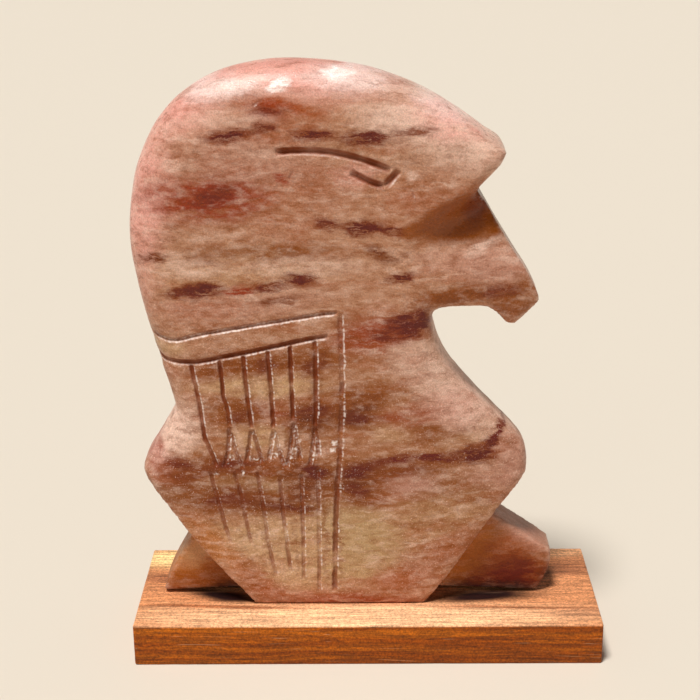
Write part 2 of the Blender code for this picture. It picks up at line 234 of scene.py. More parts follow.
FEATHER_TIPS = [
    [(-24.1, 35.9), (-24.6, 31.4), (-25.3, 28.1)], [(-24.1, 35.0), (-23.3, 31.8), (-22.0, 27.6)],
    [(-20.3, 35.4), (-21.3, 29.0)], [(-20.2, 35.4), (-19.3, 32.5), (-18.4, 28.6)],
    [(-16.3, 35.4), (-16.9, 31.5), (-17.4, 29.0)], [(-16.3, 35.4), (-15.1, 30.0), (-14.4, 27.9)],
    [(-12.7, 36.8), (-13.1, 33.4), (-14.1, 28.0)], [(-12.6, 36.4), (-12.2, 33.1), (-11.6, 29.4)],
    [(-8.9, 36.0), (-9.3, 32.4), (-9.9, 28.4)], [(-8.8, 36.0), (-8.4, 32.6), (-8.3, 30.0)],
]
LOWER_FEATHER_LINES = [
    [(-28.0, 27.2), (-27.1, 23.2), (-26.2, 19.0), (-24.7, 12.6)],
    [(-23.6, 27.2), (-22.4, 21.8), (-21.8, 17.8), (-20.9, 12.6)],
    [(-19.5, 27.2), (-18.6, 20.7), (-17.9, 13.8), (-16.6, 6.0)],
    [(-15.4, 26.0), (-14.9, 18.0), (-14.1, 9.7), (-13.8, 6.6)],
    [(-11.5, 26.7), (-11.4, 15.8), (-11.4, 8.2), (-11.5, 5.2)],
    [(-8.5, 27.9), (-8.5, 13.6), (-8.6, 2.6)],
]
PECKS = [
    (-24.7, 28.4), (-24.2, 29.8), (-20.4, 29.6), (-19.4, 29.2), (-16.0, 30.4), (-13.1, 30.2), (-12.5, 31.4),
    (-12.1, 33.2), (-9.2, 30.0), (-5.6, 32.8), (-5.9, 31.4), (-4.5, 23.4), (-22.0, 26.9), (-27.0, 26.6),
]
SCRATCHES = [
    [(8.0, 79.3), (8.4, 78.2), (8.3, 77.4)],
    [(-18.4, 93.2), (-16.5, 94.3)],
    [(-11.7, 82.4), (-12.6, 80.9)],
]


def curve_through(marks, step):
    """Points about a step apart on a smooth curve through the marks, as x and z in metres."""
    knots = np.array([spot(*mark).xz for mark in marks])
    knots = np.vstack([2 * knots[0] - knots[1], knots, 2 * knots[-1] - knots[-2]])
    points = []
    for before, start, end, after in zip(knots, knots[1:], knots[2:], knots[3:]):
        count = max(2, round(float(np.hypot(*(end - start))) / step))
        for t in np.arange(count) / count:
            points.append(0.5 * (2 * start + (end - before) * t
                                 + (2 * before - 5 * start + 4 * end - after) * t ** 2
                                 + (3 * start - before - 3 * end + after) * t ** 3))
    return np.array(points + [knots[-2]])


# %% [markdown]
# ## How each kind of line was cut
# A cut has a width, a depth and a raggedness. It also has two signs of its age: dirt that sits on its
# floor, and pale crushed stone where the tool bruised the edge instead of cutting it, with a painted
# highlight on the lower right lip, which faces the light. Keeping these five values together makes
# each kind of line one row to read and to change. The back is plainer, with the eye and the band alone.
# %% The kinds of cut
COURSE_STEP = 1.5 * MILLIMETRE
PECK_REACH = 0.7
PECK_LEAN = 0.1
PECK_LINES = [[(across, up + PECK_REACH), (across + PECK_LEAN, up - PECK_REACH)] for across, up in PECKS]
FRONT_KINDS = [
    (EYE_LINES, 2.4, 1.2, 0.35, 1.0, 0.45),
    ([BAND_UPPER_LINE], 1.6, 0.9, 0.4, 0.55, 0.75),
    ([BAND_LOWER_LINE], 1.8, 1.2, 0.4, 0.9, 0.6),
    (FEATHER_LINES, 1.5, 0.85, 0.8, 1.0, 0.7),
    (FEATHER_TIPS, 1.4, 0.65, 0.8, 0.6, 0.8),
    (LOWER_FEATHER_LINES, 1.4, 0.5, 0.9, 0.6, 0.6),
    ([LONG_LINE], 1.8, 0.75, 1.0, 0.75, 0.65),
    (PECK_LINES, 1.8, 0.3, 0.8, 0.0, 1.0),
    (SCRATCHES, 0.8, 0.15, 0.6, 0.4, 0.45),
]
BACK_KINDS = [
    (EYE_LINES, 2.2, 1.0, 0.2, 0.6, 0.1),
    ([BAND_UPPER_LINE], 1.7, 0.8, 0.3, 0.4, 0.1),
    ([BAND_LOWER_LINE], 1.9, 0.9, 0.3, 0.6, 0.1),
]


def cuts_of(kinds):
    """One cut for each line: rows of lines, width and depth in millimetres, and three shares."""
    return [{"course": curve_through(marks, COURSE_STEP), "width": width * MILLIMETRE,
             "depth": depth * MILLIMETRE, "ragged": ragged, "dirt": dirt, "crushed_and_lit": crushed_and_lit}
            for lines, width, depth, ragged, dirt, crushed_and_lit in kinds for marks in lines]


FRONT_CUTS = cuts_of(FRONT_KINDS)
BACK_CUTS = cuts_of(BACK_KINDS)
print(len(FRONT_CUTS), "cuts in the front and", len(BACK_CUTS), "in the back")

# %% [markdown]
# ## How far a point is from a line
# Both the finer net and the carving need the distance of many points from each line. The nearest
# place on each straight piece of the course is found for all the points at once. The side on which a
# point lies is kept too, because the lower right lip of each cut, which faces the light, gets a
# painted highlight over its crushed stone.
# %% Distance from a course
LOWER_RIGHT = np.array((0.75, -0.66))


def distance_from(course, flat):
    """Each flat point's distance from the course and how far along it lies, the course's length, and
    how much the point lies to the course's lower right."""
    nearest = np.full(len(flat), np.inf)
    travelled = np.zeros(len(flat))
    beside = np.zeros(len(flat))
    passed = 0.0
    for start, end in zip(course, course[1:]):
        way = end - start
        length = float(np.hypot(*way))
        along = np.clip((flat - start) @ way / length ** 2, 0, 1)
        gap = flat - start - along[:, None] * way
        distance = np.hypot(gap[:, 0], gap[:, 1])
        closer = distance < nearest
        nearest[closer] = distance[closer]
        travelled[closer] = passed + along[closer] * length
        beside[closer] = (gap[closer] @ LOWER_RIGHT) / (distance[closer] + 1e-9)
        passed += length
    return nearest, travelled, passed, beside


def near_cuts(flat, cuts, extra):
    """Which points lie within half a cut's width, and a little extra, of any of the cuts."""
    close = np.zeros(len(flat), bool)
    for one in cuts:
        low = one["course"].min(axis=0) - one["width"] / 2 - extra
        high = one["course"].max(axis=0) + one["width"] / 2 + extra
        around = np.flatnonzero(((flat > low) & (flat < high)).all(axis=1))
        if len(around):
            close[around] |= distance_from(one["course"], flat[around])[0] < one["width"] / 2 + extra
    return close


# %% [markdown]
# ## Fill the rough grooves and refine the net
# The solid's own grooves came through the remesh as shallow, stepped dips. They are filled first, by
# smoothing only the vertices near the lines until they span flat from side to side. Then the faces
# near the lines are divided in four each way, so that there is fine stone to carve.
# %% Clean ground for the lines
FILL_REACH = 1.4 * MILLIMETRE
FINE_REACH = 0.7 * MILLIMETRE
FILL_PASSES = 60
FINE_CUTS = 3
FACE_DEPTH = 0.3 * STONE_HIGH.y
LEAST_FACING = 0.25


def on_side(places, directions, side):
    """Which points belong to the front face (side -1) or the back face (side 1)."""
    return (places[:, 1] * side > FACE_DEPTH) & (directions[:, 1] * side > LEAST_FACING)


places = corners(stone)
directions = facing(stone)
rough = on_side(places, directions, -1) & near_cuts(places[:, ::2], FRONT_CUTS, FILL_REACH)
rough |= on_side(places, directions, 1) & near_cuts(places[:, ::2], BACK_CUTS, FILL_REACH)
pick_corners(stone, rough)
bpy.ops.mesh.vertices_smooth(factor=0.5, repeat=FILL_PASSES)
bpy.ops.object.mode_set(mode="OBJECT")

centres = np.array([face.center for face in stone.data.polygons])
outward = np.array([face.normal for face in stone.data.polygons])
fine = on_side(centres, outward, -1) & near_cuts(centres[:, ::2], FRONT_CUTS, FINE_REACH)
fine |= on_side(centres, outward, 1) & near_cuts(centres[:, ::2], BACK_CUTS, FINE_REACH)
pick_faces(stone, fine)
bpy.ops.mesh.subdivide(number_cuts=FINE_CUTS)
bpy.ops.mesh.vertices_smooth(factor=0.5, repeat=2)
bpy.ops.object.mode_set(mode="OBJECT")
print("with fine stone along the lines:", triangles(stone), "triangles")

# %% [markdown]
# ## Deepen the scoop under the brow and sharpen the brow's tip
# Three places need more than the solid gives them, and two of them are on the head. The scoop under
# the brow was cut with a gouge and is deepest just below the brow's lip. The tip of the brow is
# sharper than a rounded skin leaves it. Both are smooth pushes on the vertices of those places alone.
# %% Scoop and brow's tip
BROW_START = np.array(spot(19.2, 79.2).xz)
BROW_STOP = np.array(spot(3.5, 71.4).xz)
SCOOP_EXTRA = 1.3 * MILLIMETRE
SCOOP_DROP = 3.4 / 100 * STONE_HEIGHT
SCOOP_REACH = 3.2 / 100 * STONE_HEIGHT
SCOOP_LENGTH = 15 / 100 * STONE_HEIGHT
BROW_TIP = np.array(spot(23.6, 86.4).xz)
TIP_REACH = 3.4 / 100 * STONE_HEIGHT
TIP_PULL = np.array((0.9, 0.25)) * MILLIMETRE


def smooth_step(share):
    """0 below 0, 1 above 1 and a smooth rise between."""
    share = np.clip(share, 0, 1)
    return share * share * (3 - 2 * share)


places = corners(stone)
along_brow = (BROW_STOP - BROW_START) / np.hypot(*(BROW_STOP - BROW_START))
from_notch = places[:, ::2] - BROW_START
behind = from_notch @ along_brow
below = from_notch @ np.array((-along_brow[1], along_brow[0]))
scoop = smooth_step(below / (0.35 * SCOOP_DROP)) * np.exp(-((below - SCOOP_DROP) / SCOOP_REACH) ** 2)
scoop *= 1 - smooth_step((behind - 0.2 * SCOOP_LENGTH) / (0.8 * SCOOP_LENGTH))
scoop *= np.abs(facing(stone)[:, 1]) > 0.5
places[:, 1] -= np.sign(places[:, 1]) * scoop * SCOOP_EXTRA
from_tip = places[:, ::2] - BROW_TIP
pulled = smooth_step(1 - np.hypot(from_tip[:, 0], from_tip[:, 1]) / TIP_REACH)
places[:, ::2] += pulled[:, None] * TIP_PULL
put_corners(stone, places)
print(f"scooped by up to {scoop.max() * SCOOP_EXTRA * 1000:.2f} mm, {(pulled > 0).sum()} vertices at the tip")

# %% [markdown]
# ## Lift the foot's front edge
# The third place is the foot, whose underside was rounded off in front, so a thin dark gap shows
# between it and the board. The gap is highest beside the chest plate and lower towards the foot's
# ends, and the plate itself stands flat. The vertices along that edge are pushed up.
# %% The foot's front edge
FOOT_FRONT = -0.35 * STONE_HIGH.y
FOOT_LIFT_INNER = 2.3 * MILLIMETRE
FOOT_LIFT_OUTER = 0.6 * MILLIMETRE
FOOT_ROUND = 3.2 * MILLIMETRE
FOOT_LENGTH = 22 / 100 * STONE_HEIGHT
places = corners(stone)
in_foot = (places[:, 1] > FOOT_FRONT - 0.3 * MILLIMETRE) & (places[:, 1] < FOOT_FRONT + FOOT_ROUND)
beside_plate = (places[:, 0] < spot(-22, 0).x) | (places[:, 0] > spot(12.5, 0).x)
from_plate = np.maximum(places[:, 0] - spot(12, 0).x, spot(-22, 0).x - places[:, 0]) / FOOT_LENGTH
most_lift = FOOT_LIFT_INNER + (FOOT_LIFT_OUTER - FOOT_LIFT_INNER) * np.clip(from_plate, 0, 1)
lift = most_lift * (1 - (places[:, 1] - FOOT_FRONT) / FOOT_ROUND) - (places[:, 2] - STONE_LOW.z)
lift = np.where(in_foot & beside_plate, np.clip(lift, 0, None), 0)
places[:, 2] += lift
put_corners(stone, places)
print(f"{(lift > 0).sum()} vertices lifted under the foot, by up to {lift.max() * 1000:.2f} mm")

# %% [markdown]
# ## The hand's unevenness
# A rasped and sanded face is never quite flat. Two broad noises move the skin in and out by a tenth
# of a millimetre or two, which is enough to bend the highlights. A third, finer one is stronger on
# the body, which was left rougher than the head. Noise is read at each vertex's own place, so the
# same script always gives the same stone.
# %% Broad unevenness of the worked faces
CALM_FOOT = 8 * MILLIMETRE
BROAD_SWELL = 0.22
MIDDLE_SWELL = 0.10
HEAD_GRIT = 0.02
BODY_GRIT = 0.05


def noise_at(places, size, seed):
    """Smooth noise from about -1 to 1 at each place, with lumps of the given size in metres."""
    shift = Vector((seed * 7.31, seed * 3.17, seed * 5.53))
    return np.array([noise.noise(Vector(place) / size + shift) for place in places])


places = corners(stone)
height_share = (places[:, 2] - STONE_LOW.z) / STONE_HEIGHT
lower_body = np.clip((0.55 - height_share) / 0.15, 0, 1)
swell = BROAD_SWELL * noise_at(places, 24 * MILLIMETRE, 1)
swell += MIDDLE_SWELL * noise_at(places, 9 * MILLIMETRE, 2)
swell += (HEAD_GRIT + BODY_GRIT * lower_body) * noise_at(places, 3 * MILLIMETRE, 3)
swell *= np.clip((places[:, 2] - STONE_LOW.z) / CALM_FOOT, 0, 1)
put_corners(stone, places + facing(stone) * (swell * MILLIMETRE)[:, None])
print(f"unevenness from {swell.min():.2f} to {swell.max():.2f} mm")

# %% [markdown]
# ## The shape of one cut
# Each cut pushes the skin straight back into the slab, deepest on its course and nothing at its
# edges. Noise along the course changes its depth and width as a hand would. While carving, two masks
# are kept on the vertices for the material: dirt, which gathers on the floor in patches, and crushed
# stone, which lies along the lip and wherever a cut is too shallow to hold dirt. The lip is strongest
# on the lower right, which faces the light, so that part of it is a painted highlight.
# %% The shape of one cut
WANDER = 0.14 * MILLIMETRE
CUT_ROUNDNESS = 0.6


def carve_one(one, flat, rough):
    """One cut's depth, dirt, and crushed stone with a painted highlight on the lower right lip, at flat
    points whose noises are in rough.
    """
    ragged = one["ragged"]
    distance, along, length, beside = distance_from(one["course"], flat + rough["wander"] * ragged)
    ends = np.clip(np.minimum(along, length - along) / (0.9 * one["width"]), 0, 1) ** 0.5
    width = one["width"] * (1 + ragged * (0.25 * rough["coarse"] + 0.15 * rough["grit"]))
    strength = np.clip(1 + ragged * (0.7 * rough["broad"] + 0.45 * rough["coarse"]), 0.15, 1.35) * ends
    share = np.clip(distance / (width / 2), 0, 2)
    depth = one["depth"] * strength * np.clip(1 - share, 0, 1) ** CUT_ROUNDNESS
    dirt_patches = np.clip(0.75 + 0.9 * rough["broad"] + 0.7 * rough["coarse"], 0, 1)
    dirt = one["dirt"] * smooth_step((1.15 - share) / 0.55) * (1 - ragged + ragged * dirt_patches) * ends
    # Painted highlight: the pale lip is strongest on the lower right side, which faces the light.
    lip = np.clip(1 - np.abs(share - 1.0) / 0.7, 0, 1) * (0.45 + 0.55 * np.clip(beside, -0.5, 1))
    floor = np.clip(1.3 - share, 0, 1) * (1 - one["dirt"])
    bruises = np.clip(0.85 - 0.4 * ragged + ragged * (1.3 * rough["grit"] - 0.7 * rough["broad"]), 0, 1)
    return depth, dirt, one["crushed_and_lit"] * np.maximum(lip, floor) * bruises * ends


# %% [markdown]
# ## Carve all the lines
# Where two cuts meet, the deeper one wins, so the largest of their values is kept at each vertex. The
# noises are read once for a whole side, and each cut looks only at the vertices around it.
# %% Carving
def carve(piece, cuts, side):
    """Carves cuts into one side of the piece and returns the masks of dirt and of crushed stone with its
    painted lit lip.
    """
    places = corners(piece)
    chosen = np.flatnonzero(on_side(places, facing(piece), side))
    face = places[chosen]
    flat = face[:, ::2]
    wander = np.column_stack([noise_at(face, 2.5 * MILLIMETRE, 11), noise_at(face, 2.5 * MILLIMETRE, 12)])
    rough = {"wander": wander * WANDER, "grit": noise_at(face, 0.7 * MILLIMETRE, 13),
             "coarse": noise_at(face, 2.2 * MILLIMETRE, 14), "broad": noise_at(face, 7.0 * MILLIMETRE, 15)}
    found = np.zeros((3, len(flat)))
    for one in cuts:
        reach = 1.6 * one["width"]
        low = one["course"].min(axis=0) - reach
        high = one["course"].max(axis=0) + reach
        around = np.flatnonzero(((flat > low) & (flat < high)).all(axis=1))
        values = carve_one(one, flat[around], {key: value[around] for key, value in rough.items()})
        found[:, around] = np.maximum(found[:, around], values)
    places[chosen, 1] -= side * found[0]
    put_corners(piece, places)
    masks = np.zeros((2, len(places)))
    masks[:, chosen] = found[1:]
    return masks


masks = carve(stone, FRONT_CUTS, -1) + carve(stone, BACK_CUTS, 1)
print(f"dirt on {(masks[0] > 0.3).sum()} vertices, crushed stone on {(masks[1] > 0.3).sum()}")

# %% [markdown]
# ## Worn and chipped edges
# Soft stone loses its edges first. How far each vertex stands out from its neighbours tells where the
# edges are. There the skin is nibbled back by noise, and more at four chips, which are places with a
# size: the brow, the beak, the foot's right end and the shoulder. A third mask is kept, because a
# worn edge is paler than the waxed face beside it; the same pale rub is also a painted highlight
# along the edges.
# %% Edges
NIBBLE = 0.45 * MILLIMETRE
CHIP_STRENGTH = 1.2
LEAST_STANDING_OUT = 0.05
FULLY_WORN = 0.21
CHIPPED_SPOTS = [(23.6, 83.6, 1.4), (26.8, 60.6, 1.4), (31.2, 7.2, 1.8), (-40.2, 27.6, 1.6)]


def standing_out(piece, passes):
    """How much each vertex stands out from its neighbours, evened out along the net a few times."""
    places = corners(piece)
    directions = facing(piece)
    ends = np.empty(len(piece.data.edges) * 2, np.int32)
    piece.data.edges.foreach_get("vertices", ends)
    first, second = ends.reshape(-1, 2).T
    way = places[second] - places[first]
    way /= np.linalg.norm(way, axis=1)[:, None] + 1e-12
    count = np.bincount(first, minlength=len(places)) + np.bincount(second, minlength=len(places))
    drop = np.bincount(first, -(way * directions[first]).sum(axis=1), len(places))
    drop += np.bincount(second, (way * directions[second]).sum(axis=1), len(places))
    drop /= count
    for _ in range(passes):
        around = np.bincount(first, drop[second], len(places)) + np.bincount(second, drop[first], len(places))
        drop = (drop + around / count) / 2
    return drop


worn = (standing_out(stone, 3) - LEAST_STANDING_OUT) / (FULLY_WORN - LEAST_STANDING_OUT)
worn = np.clip(worn, 0, 1)
places = corners(stone)
bites = noise_at(places, 2.6 * MILLIMETRE, 31) + 0.6 * noise_at(places, 1.3 * MILLIMETRE, 32)
nibbled = worn * np.clip(bites, 0, 1)
for across, up, size in CHIPPED_SPOTS:
    middle = spot(across, up)
    distance = np.hypot(places[:, 0] - middle.x, places[:, 2] - middle.z) / (size * STONE_HEIGHT / 100)
    nibbled += np.clip(1 - distance, 0, 1) * worn * CHIP_STRENGTH
nibbled *= np.clip((places[:, 2] - STONE_LOW.z) / CALM_FOOT, 0.25, 1)
put_corners(stone, places - facing(stone) * (nibbled * NIBBLE)[:, None])
print(f"{(worn > 0.5).sum()} vertices on worn edges, nibbled by up to {nibbled.max() * NIBBLE * 1000:.2f} mm")

# %% [markdown]
# ## Keep within the sawn slab
# Smoothing and unevenness may push a vertex a hair past the slab that the stone was sawn from. The
# places are held inside the solid's box, which also keeps the underside flat on its bed.
# %% Hold the skin inside the solid's box
STONE_MASKS = ("cut_dirt", "crushed_stone_and_lit_lip", "worn_edge_and_highlight")
places = np.clip(corners(stone), np.array(STONE_LOW), np.array(STONE_HIGH))
put_corners(stone, places)
for name, mask in zip(STONE_MASKS, (*masks, worn)):
    attribute = stone.data.attributes.new(name, "FLOAT", "POINT")
    attribute.data.foreach_set("value", mask.astype(np.float32))
only(stone)
bpy.ops.object.shade_smooth()
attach(stone, "root")
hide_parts("stone_eagle_head")
print("stone:", triangles(stone), "triangles")

# %% [markdown]
# ## The wooden board
# The board is a plain offcut of hardwood, sawn square and hardly eased. It starts as a cube at the
# solid board's size. Its edges are bevelled by less than a millimetre, and its faces are divided into
# an even net, so that there is something to wear.
# %% Board
BOARD_EDGE = 0.6 * MILLIMETRE
BOARD_NET = 1.6 * MILLIMETRE


def divide(piece, axis, low, high, step):
    """Cuts the piece across one axis at even steps."""
    normal = Vector((axis == 0, axis == 1, axis == 2))
    count = round((high - low) / step)
    for index in range(1, count):
        only(piece)
        bpy.ops.object.mode_set(mode="EDIT")
        bpy.ops.mesh.select_all(action="SELECT")
        bpy.ops.mesh.bisect(plane_co=normal * (low + (high - low) * index / count), plane_no=normal)
        bpy.ops.object.mode_set(mode="OBJECT")


size = BOARD_HIGH - BOARD_LOW
bpy.ops.object.select_all(action="DESELECT")
bpy.ops.mesh.primitive_cube_add(size=1, location=(BOARD_LOW + BOARD_HIGH) / 2, scale=size)
board = bpy.context.object
board.name = "wooden_board"
bpy.ops.object.transform_apply(location=True, rotation=True, scale=True)
bpy.ops.object.mode_set(mode="EDIT")
bpy.ops.mesh.select_all(action="SELECT")
bpy.ops.mesh.bevel(offset=BOARD_EDGE, segments=3, affect="EDGES")
bpy.ops.object.mode_set(mode="OBJECT")
for axis in range(3):
    divide(board, axis, BOARD_LOW[axis] + BOARD_EDGE, BOARD_HIGH[axis] - BOARD_EDGE, BOARD_NET)
print("board with an even net:", triangles(board), "triangles")

# %% [markdown]
# ## Fret the board's edges
# A saw and some years of dusting leave an edge that is not quite straight. A vertex lies by an edge
# where its nearest face and the next one are both close. There, noise pushes it inwards from the
# faces that it lies on, but never off the underside, which stands flat.
# %% The board's worn edges
BOARD_FRET = 0.22 * MILLIMETRE
ON_FACE = 0.4 * MILLIMETRE
ON_UNDERSIDE = 0.1 * MILLIMETRE
places = corners(board)
inset = np.sort(np.minimum(places - np.array(BOARD_LOW), np.array(BOARD_HIGH) - places), axis=1)
edge = np.clip(1 - inset[:, 1] / (1.5 * BOARD_EDGE), 0, 1)
fret = np.clip(noise_at(places, 2.3 * MILLIMETRE, 21) + 0.7 * noise_at(places, 6 * MILLIMETRE, 22), 0, 1.2)
fret *= edge * BOARD_FRET
middle = np.array((BOARD_LOW + BOARD_HIGH) / 2)
from_face = np.abs(np.abs(places - middle) - np.array(size) / 2)
inward = np.sign(middle - places) * (inset[:, :1] + ON_FACE > from_face)
lifted = places + inward * fret[:, None]
lifted[places[:, 2] < BOARD_LOW.z + ON_UNDERSIDE, 2] = BOARD_LOW.z
put_corners(board, np.clip(lifted, np.array(BOARD_LOW), np.array(BOARD_HIGH)))
only(board)
bpy.ops.object.shade_smooth_by_angle(angle=math.radians(40))
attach(board, "root")
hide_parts("wood_base")
print("board:", triangles(board), "triangles")

# %% [markdown]
# ## Writing node trees in Python
# A material is a tree of nodes. One short function adds a node, sets its properties, and fills its
# sockets with plain values or links them to other nodes, so that each line of a material reads like
# a sentence.
# %% Helpers for nodes
def fill(tree, node, inputs):
    """Gives each named or numbered input of a node its value, or links it to another node's output."""
    for key, value in inputs.items():
        if isinstance(value, bpy.types.NodeSocket):
            tree.links.new(value, node.inputs[key])
        else:
            node.inputs[key].default_value = value


def add(tree, kind, inputs=None, **settings):
    """Adds a node to a tree, sets its properties and fills or links its inputs."""
    node = tree.nodes.new("ShaderNode" + kind)
    for key, value in settings.items():
        setattr(node, key, value)
    fill(tree, node, inputs or {})
    return node


def new_material(name):
    """A material with an empty tree, its Principled shader and the piece's own coordinates."""
    material = bpy.data.materials.new(name)
    material.use_nodes = True
    tree = material.node_tree
    return material, tree, tree.nodes["Principled BSDF"], add(tree, "TexCoord").outputs["Object"]


# %% [markdown]
# ## The few nodes that do most of the work
# Nearly all of a procedural finish is sums, colours mixed by a mask, values moved to another range,
# and noise. Each gets one function that returns the output that the next node needs.
# %% Helpers for values, colours and noise
MIX_FIRST_COLOUR = 6
MIX_SECOND_COLOUR = 7
MIX_COLOUR_RESULT = 2


def tone(red, green, blue):
    """A colour given as it looks on a screen, from 0 to 255, in the linear values that shaders use."""
    return (*[((value / 255 + 0.055) / 1.055) ** 2.4 for value in (red, green, blue)], 1.0)


def maths(tree, operation, *values, clamp=False):
    """A Math node's result."""
    return add(tree, "Math", dict(enumerate(values)), operation=operation, use_clamp=clamp).outputs[0]


def vectors(tree, operation, *values):
    """A Vector Math node's vector."""
    return add(tree, "VectorMath", dict(enumerate(values)), operation=operation).outputs["Vector"]


def blend(tree, share, first, second):
    """One colour mixed into another by a share."""
    colours = {"Factor": share, MIX_FIRST_COLOUR: first, MIX_SECOND_COLOUR: second}
    return add(tree, "Mix", colours, data_type="RGBA", clamp_factor=True).outputs[MIX_COLOUR_RESULT]


def ramp(tree, value, from_low, from_high, to_low=0.0, to_high=1.0):
    """A value moved smoothly from one range to another and held at the ends."""
    ranges = {0: value, 1: from_low, 2: from_high, 3: to_low, 4: to_high}
    return add(tree, "MapRange", ranges, interpolation_type="SMOOTHSTEP").outputs[0]


def lumps(tree, place, scale, detail=3.0, roughness=0.55):
    """A Noise node: its value from 0 to 1, and its colour."""
    values = {"Vector": place, "Scale": scale, "Detail": detail, "Roughness": roughness}
    return add(tree, "TexNoise", values).outputs


def stretched(tree, place, stretch, detail=4.0, roughness=0.6):
    """Noise whose lumps are long where the stretch is small, as a value from 0 to 1."""
    return lumps(tree, vectors(tree, "MULTIPLY", place, stretch), 1.0, detail, roughness)["Fac"]


def recolour(tree, colour, setting, value):
    """A colour with its Value or its Saturation multiplied."""
    return add(tree, "HueSaturation", {"Color": colour, setting: value}).outputs[0]


def either_side(tree, noise_colour):
    """A noise's colour as a push to either side, from about -0.5 to 0.5 each way."""
    return vectors(tree, "SUBTRACT", noise_colour, (0.5, 0.5, 0.5))


# %% [markdown]
# ## Node groups
# An effect that more than one material uses is built once as a node group with named inputs and
# outputs. Each material then places the group as one node and gives it its own values.
# %% Helpers for node groups
def new_group(name, takes, gives):
    """An empty node group with named inputs and outputs, and its two end nodes."""
    group = bpy.data.node_groups.new(name, "ShaderNodeTree")
    for label, kind in takes:
        group.interface.new_socket(label, in_out="INPUT", socket_type="NodeSocket" + kind)
    for label, kind in gives:
        group.interface.new_socket(label, in_out="OUTPUT", socket_type="NodeSocket" + kind)
    return group, group.nodes.new("NodeGroupInput").outputs, group.nodes.new("NodeGroupOutput").inputs


def use(tree, group, inputs):
    """Places a node group in a tree and returns its outputs."""
    node = tree.nodes.new("ShaderNodeGroup")
    node.node_tree = group
    fill(tree, node, inputs)
    return node.outputs


# %% [markdown]
# ## A streak of colour
# Veins in stone and dark bands in wood are the same thing to a shader: a long soft patch of another
# colour. A Mapping node turns and stretches the patch's own space so that the patch becomes a ball
# of radius one, and a spherical gradient fades that ball from its middle to its rim. The group is
# built once, and each cloud, band and vein is one use of it with its own values.
# %% Node group: streak
def streak_group():
    group, takes, gives = new_group(
        "streak",
        [("Colour", "Color"), ("Streak", "Color"), ("Place", "Vector"), ("Middle", "Vector"),
         ("Turn", "Vector"), ("Reach", "Vector"), ("Strength", "Float"), ("Wisps", "Float")],
        [("Colour", "Color")])
    mapping = {"Vector": takes["Place"], "Location": takes["Middle"], "Rotation": takes["Turn"],
               "Scale": takes["Reach"]}
    inside = add(group, "Mapping", mapping, vector_type="TEXTURE").outputs[0]
    near = add(group, "TexGradient", {"Vector": inside}, gradient_type="SPHERICAL").outputs["Fac"]
    mask = maths(group, "MULTIPLY", ramp(group, near, 0.0, 0.75), takes["Strength"])
    share = maths(group, "MULTIPLY", mask, takes["Wisps"])
    group.links.new(blend(group, share, takes["Colour"], takes["Streak"]), gives["Colour"])
    return group


STREAK = streak_group()
HALF_LENGTH = 0.58


def streaks(tree, colour, place, wisps, rows, palette):
    """Lays rows of streaks over a colour: tone, start, end, half width and strength."""
    for name, x0, z0, x1, z1, width, strength in rows:
        length = math.hypot(x1 - x0, z1 - z0)
        values = {"Colour": colour, "Streak": palette[name], "Place": place,
                  "Middle": ((x0 + x1) / 2, 0.0, (z0 + z1) / 2),
                  "Turn": (0.0, -math.atan2(z1 - z0, x1 - x0), 0.0),
                  "Reach": (HALF_LENGTH * length + width, 1.0, width), "Strength": strength, "Wisps": wisps}
        colour = use(tree, STREAK, values)["Colour"]
    return colour


# %% [markdown]
# ## The colours of the stone
# The stone is a soft pink and tan one with beds that run nearly level. Its tones are named once, from
# the white of crystal flecks and painted highlights to the near black of the painted shadow under the
# foot, so that a tone can be changed in one place.
# %% Palette of the stone
STONE_TONES = {
    "ground": tone(180, 130, 101), "warm": tone(160, 107, 73), "tan": tone(182, 138, 98),
    "beige": tone(196, 156, 116), "green tan": tone(184, 152, 108), "pink": tone(230, 166, 156),
    "pale": tone(234, 200, 184), "white": tone(255, 244, 240), "grey pink": tone(190, 140, 122),
    "red": tone(142, 62, 44), "red tan": tone(162, 92, 62), "brown": tone(126, 68, 34),
    "dark brown": tone(98, 40, 10), "vein": tone(92, 18, 0), "purple": tone(98, 30, 24),
    "purple brown": tone(114, 54, 30), "grey brown": tone(128, 74, 42), "orange": tone(180, 106, 44),
    # The next tones, from the near black one to maroon, serve painted shade under the brow and on the foot
    # and painted shadow where the foot meets the board; maroon is partly the foot's red stone.
    "foot shadow": tone(36, 4, 0), "shade": tone(132, 64, 10), "deep shade": tone(100, 36, 0),
    "maroon": tone(92, 16, 0),
}
print(len(STONE_TONES), "tones of stone")
